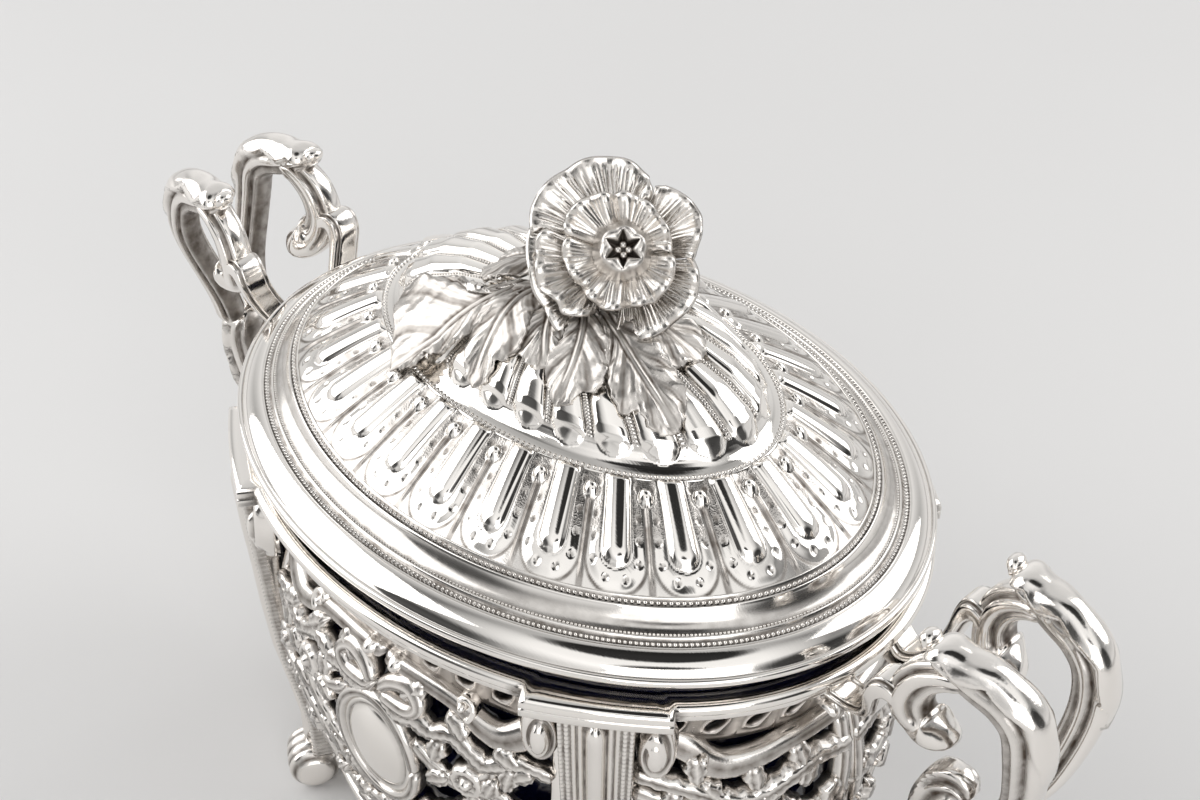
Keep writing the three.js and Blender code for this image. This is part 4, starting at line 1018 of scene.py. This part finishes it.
def knob(u, v, radius, lift, petals=0):
    """Round boss, or a rosette where it has petals. Gives points as (u, v, out)."""
    angle = turns_of(36)[None, :]
    share, rise, shade = np.array([
        (0.02, 1.0, 0), (0.2, 0.92, 0), (0.34, 0.7, 0.4), (0.42, 0.5, 1), (0.6, 0.72, 0.1), (0.8, 0.66, 0),
        (0.95, 0.35, 0.5), (1.0, 0.0, 1), (0.9, -0.9, 1),
    ]).T[..., None]
    if not petals:
        rise = rounded(share) - 0.9 * (rise < 0)
    wave = 1 + 0.14 * np.abs(np.cos(petals * angle / 2)) * (share > 0.4) * (petals > 0)
    r = radius * share * wave
    points = np.stack([u + r * np.cos(angle), v + r * np.sin(angle), lift * rise * np.ones_like(angle)], -1)
    return tube(points, shade * (1.0 if petals else 0.3))


def volute(u, v, radius, start, turns, width):
    """Line of a scroll that winds inwards to its eye, as [u, v, width] rows."""
    rows = []
    for t in np.linspace(0, 1, 10):
        angle = math.radians(start) + turns * 2 * math.pi * t
        r = radius * (1 - 0.78 * t)
        rows.append((u + r * math.cos(angle), v + r * math.sin(angle), width * (1 - 0.35 * t)))
    return rows


def leaflet(u, v, heading, length, width):
    """Small pointed leaf that springs from a strand at (u, v)."""
    du, dv = math.cos(math.radians(heading)), math.sin(math.radians(heading))
    bend = 0.16 * length
    rows = [(u + du * length * s - dv * bend * s * s, v + dv * length * s + du * bend * s * s, width * w)
            for s, w in ((0, 0.4), (0.3, 0.95), (0.6, 1.0), (0.85, 0.55), (1.0, 0.2))]
    return dict(rows=rows, ribs=3, lift=2.8, scallops=3, rib=0.4, step=0.45)


side_strands = [
    dict(rows=[(0, 71.6, 2.4), (10, 71.4, 2.6), (17, 70.6, 2.8), (22, 68.4, 3.4), (26, 67.6, 4),
               (30, 69.4, 4.4), (33.5, 72.4, 4), (36.5, 73, 3)], ribs=4, lift=2.2, rib=0.35),
    dict(rows=volute(18.6, 71.2, 2.6, 270, 0.9, 1.8), lift=2.4),
    dict(rows=[(0.6, 65.6, 2.2), (3.5, 68.4, 2.8), (7.4, 69.4, 3.2), (9.8, 67, 2.8), (7.4, 64.8, 2.6),
               (1, 65, 2.2)], ribs=3, lift=3.0),
    dict(rows=[(1, 65, 2.6), (5, 62.6, 3), (9, 63.6, 3.2), (13, 63.2, 3.0), (17, 64.6, 2.8),
               (20.4, 63.2, 3.2), (23.4, 61.6, 3.0), (27.5, 63.2, 2.6), (31, 64.4, 2.2), (36.4, 63.4, 2)],
         ribs=3, lift=2.4, scallops=9, beads=26),
    dict(rows=[(8.6, 58.6, 2.2), (12, 56.4, 2.6), (16, 54.4, 3.0), (21, 54.8, 3.2), (26, 54.6, 3.4),
               (31, 52, 3.0), (36.4, 50.6, 2.4)], ribs=3, lift=2.0, scallops=7),
    dict(rows=[(24.2, 62, 2.2), (24.6, 59.4, 2.4), (22, 56.8, 2.2)], ribs=2, lift=1.8),
    dict(rows=[(9, 42.4, 2.6), (13.5, 43, 3.2), (17.6, 46, 3.4), (21, 50, 3.2), (22, 54.6, 2.6)],
         ribs=3, lift=2.2, scallops=6),
    dict(rows=[(0, 38.8, 4), (7, 37, 4.4), (14, 37.6, 4.6), (21, 39.6, 4.4), (28, 43, 3.6), (36.4, 45.4, 3)],
         ribs=4, lift=2.2, scallops=9),
    dict(rows=[(0, 31.6, 4), (6, 28.8, 4), (12, 26, 3.8), (17, 25.4, 3.6), (22, 28, 4), (27, 31.4, 3.8),
               (31.4, 35.6, 3.4), (36.4, 38, 3)], ribs=4, lift=2.0, scallops=9),
    dict(rows=[(16.6, 26, 3), (16.6, 22.6, 3.2), (16.6, 19.6, 3)], ribs=3),
    dict(rows=[(0, 20.0, 3.2), (18, 20.0, 3.2), (37, 20.0, 3.2)], lift=1.4, ribs=2),
    dict(rows=[(0, 34, 2.6), (0.2, 31, 3), (0, 28.4, 2.6)], ribs=2),
    dict(rows=[(1.4, 27, 2.4), (1.4, 24, 2.8), (1.2, 20, 3.2)], ribs=2),
    dict(rows=[(36.4, 19, 2.4), (36.6, 45, 2.6), (36.6, 73, 2.4)], lift=1.0),
]
side_strands += [leaflet(*row) for row in [
    (11, 70.6, 205, 6.5, 3.6), (20, 65, 130, 6, 3.4), (25, 66, 330, 6, 3.6), (29, 63.8, 250, 6, 3.4),
    (15, 63, 250, 5.5, 3.4), (17, 55, 200, 5.5, 3.4), (24, 55, 60, 5, 3.2), (30, 53, 300, 6.5, 3.6),
    (33, 63.6, 200, 5, 3.0), (20, 48.6, 20, 6.5, 3.8), (27, 43, 100, 6, 3.6), (14, 43.4, 240, 5.5, 3.4),
    (22, 39.6, 300, 6, 3.6), (31, 43.6, 320, 5.5, 3.4), (10, 37, 100, 5, 3.4), (9, 27.4, 80, 6, 3.8),
    (19, 26, 120, 6, 3.6), (26, 31, 100, 6.5, 3.6), (13, 25.6, 230, 5, 3.2), (30, 34, 250, 5, 3.2),
]]
side_knobs = [(20.3, 55.9, 3.4, 3.0, 8), (18.4, 71.2, 1.3, 3.0), (3.2, 71.6, 1.9, 3.0), (15.6, 44, 1.6, 2.6),
              (12.6, 60.2, 1.0, 1.6), (26.6, 42.6, 1.7, 2.6, 6)]
end_strands = [
    dict(rows=[(40.5, 73, 3), (35, 73, 4), (31, 71.8, 4.4), (27.6, 69, 4.4), (24, 67.9, 4), (18.6, 68.6, 3.2),
               (13, 69.8, 2.8), (6, 70.6, 2.6), (0, 70.6, 2.6)], ribs=4, lift=2.4, rib=0.35),
    dict(rows=[(0, 63.6, 3), (4.6, 64.6, 3.2), (8.4, 65, 3.2), (13, 63.4, 3.4), (19, 61.2, 3.4),
               (24.4, 61.8, 3.2), (31, 64.6, 2.8), (40.5, 67.6, 2.4)],
         ribs=2, lift=2.6, beads=24, scallops=14),
    dict(rows=[(0, 53, 3), (5, 52.4, 3.4), (10, 53, 3.4), (15, 52.6, 3.4), (20.4, 54.4, 3.4),
               (23.4, 58.4, 3.2), (31, 60.6, 3.0), (40.5, 63.6, 2.4)], ribs=3, lift=2.2, scallops=10),
    dict(rows=[(2.6, 44, 3.2), (2.6, 52, 3.6), (1.8, 60, 3.4), (1.4, 70, 2.8)], ribs=3, lift=2.2),
    dict(rows=[(21, 55, 3), (22.6, 51, 3.2), (22.2, 47.4, 3), (27, 46.8, 3.2), (33, 47.4, 3.2),
               (40.5, 52.4, 2.4)], ribs=3, scallops=7),
    dict(rows=[(21.6, 47.6, 3), (20.4, 42, 3.2), (17, 36.6, 3.4), (10, 35.8, 3.2), (4.4, 37.6, 3),
               (3, 45, 3)], ribs=3, scallops=8),
    dict(rows=[(17, 36.4, 3), (24, 38.6, 3.2), (32, 42, 3), (40.5, 43.6, 2.4)], ribs=3, scallops=5),
    dict(rows=[(0, 31.6, 3.6), (7, 27.8, 3.8), (13, 25, 3.6), (19, 24.8, 3.6), (27, 28.6, 3.4),
               (40.5, 33, 2.6)], ribs=4, lift=2.0, scallops=9),
    dict(rows=[(18, 25, 3), (18, 19.6, 3.2)], ribs=2),
    dict(rows=[(1.4, 34, 3), (1.4, 27, 2.8), (1.4, 20, 3.2)], ribs=2),
    dict(rows=[(0, 20.0, 3.2), (20, 20.0, 3.2), (41, 20.0, 3.2)], lift=1.4, ribs=2),
    dict(rows=[(40.8, 19, 2.4), (41, 45, 2.6), (40.8, 73, 2.4)], lift=1.0),
]
end_strands += [leaflet(*row) for row in [
    (12, 69.6, 250, 5.5, 3.6), (20, 68, 260, 5.5, 3.4), (30, 71.4, 260, 6, 3.6), (9, 65, 290, 5.5, 3.4),
    (16, 62.4, 300, 6, 3.6), (25, 61.6, 40, 6, 3.6), (33, 65, 280, 5.5, 3.4), (12, 53, 60, 6, 3.8),
    (6, 52.6, 110, 5.5, 3.6), (24, 58.6, 0, 6, 3.4), (32, 60.8, 250, 6, 3.4), (26, 47, 60, 6, 3.6),
    (21, 43, 190, 6, 3.6), (12, 36, 90, 6.5, 3.8), (28, 40.4, 90, 5.5, 3.4), (8, 27.6, 80, 6, 3.6),
    (20, 25.2, 80, 6, 3.4), (30, 29.8, 100, 6, 3.4),
]]
end_knobs = [(3.4, 71.6, 1.8, 3.0), (28.6, 70.4, 1.4, 3.4), (22, 53, 2.2, 2.8, 8), (8, 65, 1.6, 2.8, 6),
             (20.6, 40, 1.5, 2.6), (3.3, 46.7, 2.2, 2.8, 8)]
medallion_height, medallion_half_width, medallion_half_height = 51, 8.2, 10.8
medallion_frame = [(9.2 * math.cos(t), medallion_height + 11.9 * math.sin(t), 2.2)
                   for t in np.linspace(0, 2 * np.pi, 33)]
for name, middle, strands, knobs, node in [
    ("wall_front", 0.75, side_strands, side_knobs, "side_panel_front"),
    ("wall_rear", 0.25, side_strands, side_knobs, "side_panel_rear"),
    ("wall_right", 0.0, end_strands, end_knobs, "end_panel_right"),
    ("wall_left", 0.5, end_strands, end_knobs, "end_panel_left"),
]:
    ornament = [strand(**drawn) for drawn in strands] + [knob(*drawn) for drawn in knobs]
    drawn = [(part, hand) for part in ornament for hand in (-1, 1)]
    if strands is side_strands:
        drawn.append((strand(medallion_frame, lift=2.6, ribs=2, around=16), 1))
    parts = []
    for (points, faces, marks), hand in drawn:
        u, v, out = points.T
        parts.append((on_wall(middle, hand * u, v, out - 0.3), faces, marks))
    piece = make_piece(name, joined(parts), cast)
    mark_hollows(piece, 0.2)
    join_body(piece, "bowl", "polished_silver", node)


# Medallions: plain ovals of silver sheet, domed from the back, polished and soldered in the middle
# of each long side. Each row of the section holds its share of the oval, its rise and its shade.
share, rise, shade = np.array([
    (0.01, 2.9, 0), (0.2, 2.82, 0), (0.4, 2.6, 0), (0.6, 2.2, 0), (0.75, 1.75, 0), (0.84, 1.4, 0.3),
    (0.88, 1.1, 0.9), (0.92, 1.45, 0.3), (0.97, 1.5, 0), (1.0, 1.1, 0), (1.0, -1.0, 0.5),
]).T[..., None]
angle = turns_of(96)[None, :]
along = medallion_half_width * share * np.cos(angle)
z = medallion_height + medallion_half_height * share * np.sin(angle)
for name, middle, node in [("medallion_front_domed", 0.75, "medallion_front"),
                           ("medallion_rear_domed", 0.25, "medallion_rear")]:
    medallion = tube(on_wall(middle, along, z, rise), shade)
    join_body(make_piece(name, medallion, burnished), "bowl", "polished_silver", node)


# Base: a moulded band drawn from silver strip, soldered under the walls and between the legs,
# with a plate in the same darker silver that lies on its ledge under the glass.
base_profile = np.array([
    (10.3, 10.7), (10.25, 11.3), (10.3, 12.0), (10.6, 12.4), (11.1, 12.7), (11.2, 13.2), (11.2, 15.9),
    (11.1, 16.4), (10.8, 16.8), (10.6, 17.3), (10.7, 17.8), (11.0, 18.0), (12.3, 18.0), (12.5, 17.8),
    (12.5, 12.4), (12.7, 12.2), (16.0, 12.2), (16.1, 12.0), (16.1, 10.8), (16.0, 10.7),
])
base = make_piece("base_moulding", spun(base_profile, 300), burnished)
mark_hollows(base, 0.15)
join_body(base, "bowl", "polished_silver", "base_band")


def finish_node(name, material):
    """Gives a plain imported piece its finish."""
    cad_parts[name].data.materials.clear()
    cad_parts[name].data.materials.append(material)


finish_node("base_plate", shade_toned)


# Legs: cast brackets with a smooth tongue between milled wires, an eye volute at each side of the
# head and a reeded scroll foot. Each is soldered under a break-front of the rim.
LEG_TOP, LEG_BOTTOM, LEG_ASIDE = 83.9, 9.0, 12.45
leg_line = np.array([(9, 51.2), (18, 51.4), (27, 53.0), (38, 55.2), (50, 56.6), (60, 57.4), (70, 58.4),
                     (79, 59.0), (LEG_TOP, 59.2)])


def on_leg(out, aside, z):
    """Points by their distance out the way the leg faces, their place across the leg and their height."""
    out, aside, z = np.broadcast_arrays(out, aside - LEG_ASIDE, z)
    x, y = (out * tab_normal[i] + aside * tab_side[i] for i in (0, 1))
    return np.stack([x, y, z], -1)


z = np.linspace(LEG_TOP, LEG_BOTTOM, 216)[:, None]
across = np.linspace(-1, 1, 57)[None, :]
aside = across * np.interp(z, [9, 18, LEG_TOP], [4.6, 4.8, 6.3])
away = np.abs(across)
face = np.interp(z, *leg_line.T)
tongue = 2.0 * rounded(np.hypot(away / 0.26, np.maximum(z - 80.5, 0) / 3.2))
wires = sum(0.75 * rounded((away - at) / 0.075) for at in (0.39, 0.57, 0.75, 0.93))
milling = 1 - 0.55 * (0.5 - 0.5 * np.cos(2 * np.pi * z / 1.05)) * (np.abs(away - 0.48) > 0.18)
raised = np.maximum(tongue, wires * milling)
relief = raised - 0.35 - 12.5 * np.clip(away - 0.96, 0, 1)
shaft = sheet_part(on_leg(face + relief, aside, z), 0.0, np.clip(1.0 - 2.0 * raised, 0, 1))
shaft[0][len(shaft[0]) // 2:] = on_leg(face - 5.5 + 0 * across, aside * 0.9, z).reshape(-1, 3)

foot_out, foot_height, foot_radius = 51.4, 4.7, 5.3
angle = turns_of(72)[None, :]
place = np.linspace(-5.8, 5.8, 41)[:, None]
reed = np.abs(np.cos(np.pi * place / 2.3)) ** 4
r = foot_radius * np.clip(1 - np.abs(place / 5.9) ** 4, 0.02, 1) ** 0.4 - 0.35 * reed
foot_z = np.maximum(foot_height + r * np.sin(angle), 0)
foot = tube(on_leg(foot_out + r * np.cos(angle), place, foot_z), 0.9 * reed)

eye_aside, eye_height, eye_half_width, eye_half_height = 9.4, 76.9, 3.4, 7
share = np.concatenate([np.linspace(0, 1, 22), [1]])[:, None]
angle = turns_of(64)[None, :]
eyes = []
for hand in (-1, 1):
    wound = bell(share - 0.4 * ((hand * angle / (2 * np.pi) + 0.1) % 1), 0.42, 0.09)
    lift = 4.2 * rounded(share * 0.99, 2.6) - 0.8 * wound + 0.5 * rounded(share / 0.42) - 0.3
    out = 0.3 + np.maximum(lift, 0.0)
    out[-1], wound[-1] = -0.6, 0
    back = reach_to_oval((hand * eye_aside - LEG_ASIDE) * tab_side, 3)
    eyes.append(tube(on_leg(back + out, hand * eye_aside + eye_half_width * share * np.cos(angle),
                            eye_height + eye_half_height * share * np.sin(angle)), 0.9 * wound))
leg = joined([shaft, foot, *eyes])


def mirrored(drawn, x, y):
    return drawn[0] * [x, y, 1], *drawn[1:]


quarters = [("front_right", 1, -1), ("front_left", -1, -1), ("rear_right", 1, 1), ("rear_left", -1, 1)]
for name, x, y in quarters:
    piece = make_piece(f"leg_{name}_cast", mirrored(leg, x, y), cast)
    join_body(piece, "bowl", "polished_silver", f"leg_{name}")


# Handles: at each end two cast branches and a leafy scroll below them, soldered to the wall. A
# branch is an arch sheathed by a leaf, a curl that ends in a ball, and an arm to the frieze.
def bar(rows, thickness, place, ribs=(), rib=0.8, leaf=None, around=56, step=0.5, ball=0.0,
        power=0.85, dark=0.0):
    """Bar along [u, v, width] rows, grooved lengthwise at the angles in ribs, with a leaf over its
    outer side and a ball at its end where they are wanted. The function place puts (u, v, sideways)
    in space."""
    line, share, sideways, length = run_along(rows, step)
    from_end = np.minimum(share, 1 - share) * length
    taper = rounded(1 - np.clip(from_end / (0.5 * line[:, 2].mean()), 0, 1), least=0.001)
    angle = turns_of(around)[None, :]
    away = np.abs((angle + np.pi) % (2 * np.pi) - np.pi)
    grooves = sum((bell(away, at, 0.2) for at in ribs), 0 * away)
    cut = np.clip(grooves, 0, 1) * (1 - ease(share, 0.72, 0.82) * (ball > 0)) * ease(from_end, 0.5, 2.0)
    raised = 0 * cut
    if leaf:
        ends, lobes = leaf
        lobed = 0.74 + 0.26 * np.abs(np.cos(np.pi * lobes * share / ends)) ** 0.7
        wide = 1.75 * rounded(share / ends, 1.6) * lobed
        laid = ease(wide - away, 0.0, 0.2)
        cut = cut * (1 - laid)
        rolled = bell(wide - away, 0.2, 0.12)
        raised = laid * (0.6 + 0.2 * rolled - 0.12 * np.cos(2 * np.pi * lobes * share / ends + 2.2 * away))
    half = line[:, 2:] / 2 * taper
    scale = 1 - rib * cut / np.maximum(half, 1.6) + raised / np.maximum(half, 1.6) * taper
    side = thickness / 2 * taper * (1 + ball * ease(share, 0.78, 0.9)) * scale * squared(np.sin(angle), power)
    flat = line[:, None, :2] + sideways * (half * scale * squared(np.cos(angle), power))[..., None]
    # Painted shade darkens one side of the bar, as much as dark asks; the lengthwise grooves hold tarnish.
    painted_side_shade = ease(away, 2.1, 2.7) if leaf else ease(away, 0.9, 0.4)
    painted_side_shade = dark * painted_side_shade * (1 - ease(share, 0.72, 0.85) * (ball > 0))
    return tube(place(flat[..., 0], flat[..., 1], side), np.clip(cut + painted_side_shade, 0, 1))


def on_branch(u, v, side):
    middle = 11.9 - 0.12 * (u - 75)
    pull = ease(v, 72, 96)
    return np.stack([u, 3.5 + (middle - 3.5) * pull + side, v], -1)


def on_middle(u, v, side):
    return np.stack([u, side, v], -1)


arch = [(82.6, 107.4, 3.4), (84.6, 107.0, 4.6), (87.6, 106.0, 6.2), (91.5, 105.0, 7.6), (96.0, 103.4, 8.0),
        (99.2, 99.8, 7.4), (100.3, 94, 6.8), (100.1, 87.5, 6.3), (98.8, 80, 5.6), (96.6, 74.0, 5.0),
        (94.6, 69.4, 4.8)]
curl = [(91, 104.6, 4.6), (86.4, 103.6, 5.4), (82.6, 100.6, 6.4), (80.8, 96.2, 6.8), (81.4, 92.2, 7.4),
        (83.8, 90.0, 8.6), (86.0, 90.2, 9.2), (87.2, 91.2, 8.6)]
arm = [(81.2, 93.4, 2.8), (79.4, 95.4, 3.2), (77.2, 95.8, 4.2), (75.6, 93.6, 3.2), (74.9, 90.2, 2.5),
       (73.9, 86.8, 2.4), (71.8, 83.6, 2.5), (68.6, 82.0, 2.7), (65.8, 82.6, 3.4), (63.8, 83.6, 4.4),
       (62.2, 82.2, 3.6)]
tip = [(83.6, 107.6, 3.0), (82.4, 108.2, 3.8), (81.4, 107.6, 3.6)]
branch = joined([
    bar(arch, 6.4, on_branch, ribs=(1.3, 2.1), rib=1.1, leaf=(0.56, 4), dark=0.8),
    bar(curl, 6.6, on_branch, ribs=(1.15, 2.3), rib=1.1, ball=0.3, dark=0.9),
    bar(arm, 6.4, on_branch, ribs=(0.8, 2.35), rib=0.4, power=0.5, step=0.4),
    bar(tip, 4.4, on_branch, around=24, step=0.25),
])
for name, x, y in quarters:
    piece = make_piece(f"handle_branch_{name}_cast", mirrored(branch, x, y), cast)
    join_body(piece, "bowl", "polished_silver", f"handle_branch_{name}")

low_scroll = [(94.6, 70.4, 6), (96.2, 64, 7.6), (93.8, 56, 8), (88, 49.6, 7.4), (80, 45.6, 6.4),
              (72, 44.6, 6), (65.4, 46, 7)]
low_curl = [(91, 52.4, 5), (85.4, 56, 6.4), (82.4, 61.6, 7.2), (83.6, 67, 7.2), (86.4, 69, 7.0),
            (87.6, 67.4, 6.0)]
scroll = joined([
    bar(low_scroll, 9, on_middle, ribs=(1.3, 2.1), leaf=(0.6, 4), dark=0.7),
    bar(low_curl, 8, on_middle, ribs=(0.7, 1.4, 2.1), leaf=(0.95, 4), dark=0.7),
])
for name, x in [("right", 1), ("left", -1)]:
    piece = make_piece(f"handle_scroll_{name}_cast", mirrored(scroll, x, 1), cast)
    join_body(piece, "bowl", "polished_silver", f"handle_scroll_{name}")


# Glass liner: blown cobalt glass, ground and polished at the lip, so deep in colour that it looks
# black except where light comes through.
glass_profile = np.array([
    (5.0, 88.9), (5.0, 91.0), (5.1, 91.25), (5.4, 91.4), (11.8, 91.4), (12.1, 91.3), (12.2, 91.0),
    (12.2, 80.0), (12.2, 60.0), (12.2, 40.0), (12.3, 22.0), (13.2, 19.0), (15.0, 17.5), (18.0, 16.9),
    (60.0, 16.8), (67.0, 16.8), (67.0, 14.2), (60.0, 14.2), (16.5, 14.2), (14.0, 14.6), (12.0, 16.0),
    (10.4, 19.0), (9.7, 24.0), (9.6, 40.0), (9.6, 60.0), (9.6, 80.0), (9.6, 88.3), (9.4, 88.7), (5.3, 88.7),
])
glass_turns = 300
floor_inside, floor_outside = 15 * glass_turns, 16 * glass_turns
points, faces, _ = spun(glass_profile, glass_turns)
faces = [f for f in faces.tolist()
         if not {floor_inside, floor_outside} <= {glass_turns * (i // glass_turns) for i in f}]
faces += [list(range(floor_inside, floor_inside + glass_turns)),
          list(range(floor_outside, floor_outside + glass_turns))[::-1]]
cobalt, tree, surface = shaded("cobalt_glass")
streak = noise(tree, place_of(tree), 35.0, 2.0)
cobalt_tones = [(0.3, (0.002, 0.003, 0.016)), (0.7, (0.005, 0.007, 0.04))]
tree.links.new(ramp(tree, streak, cobalt_tones), surface.inputs["Base Color"])
tree.links.new(scaled(tree, streak, 0.0, 1.0, 0.02, 0.07), surface.inputs["Roughness"])
surface.inputs["IOR"].default_value = 1.5
surface.inputs["Transmission Weight"].default_value = 0.35
glass = make_piece("liner_blown", (points, faces, {}), cobalt)
join_body(glass, "liner", "cobalt_glass", "glass_liner")


# Pieces that stay as packed, because they hardly show: the brass nut under the dome, and the
# burnished seat ring, bezel and stem of the lid.
brass, tree, surface = shaded("brass")
stain = noise(tree, place_of(tree), 300.0, 3.0)
brass_tones = [(0.3, (0.45, 0.3, 0.12)), (0.7, (0.72, 0.52, 0.22))]
tree.links.new(ramp(tree, stain, brass_tones), surface.inputs["Base Color"])
surface.inputs["Metallic"].default_value = 1.0
surface.inputs["Roughness"].default_value = 0.3
finish_node("finial_nut", brass)
for name in ("lid_seat_ring", "lid_bezel", "finial_stem"):
    finish_node(name, burnished)
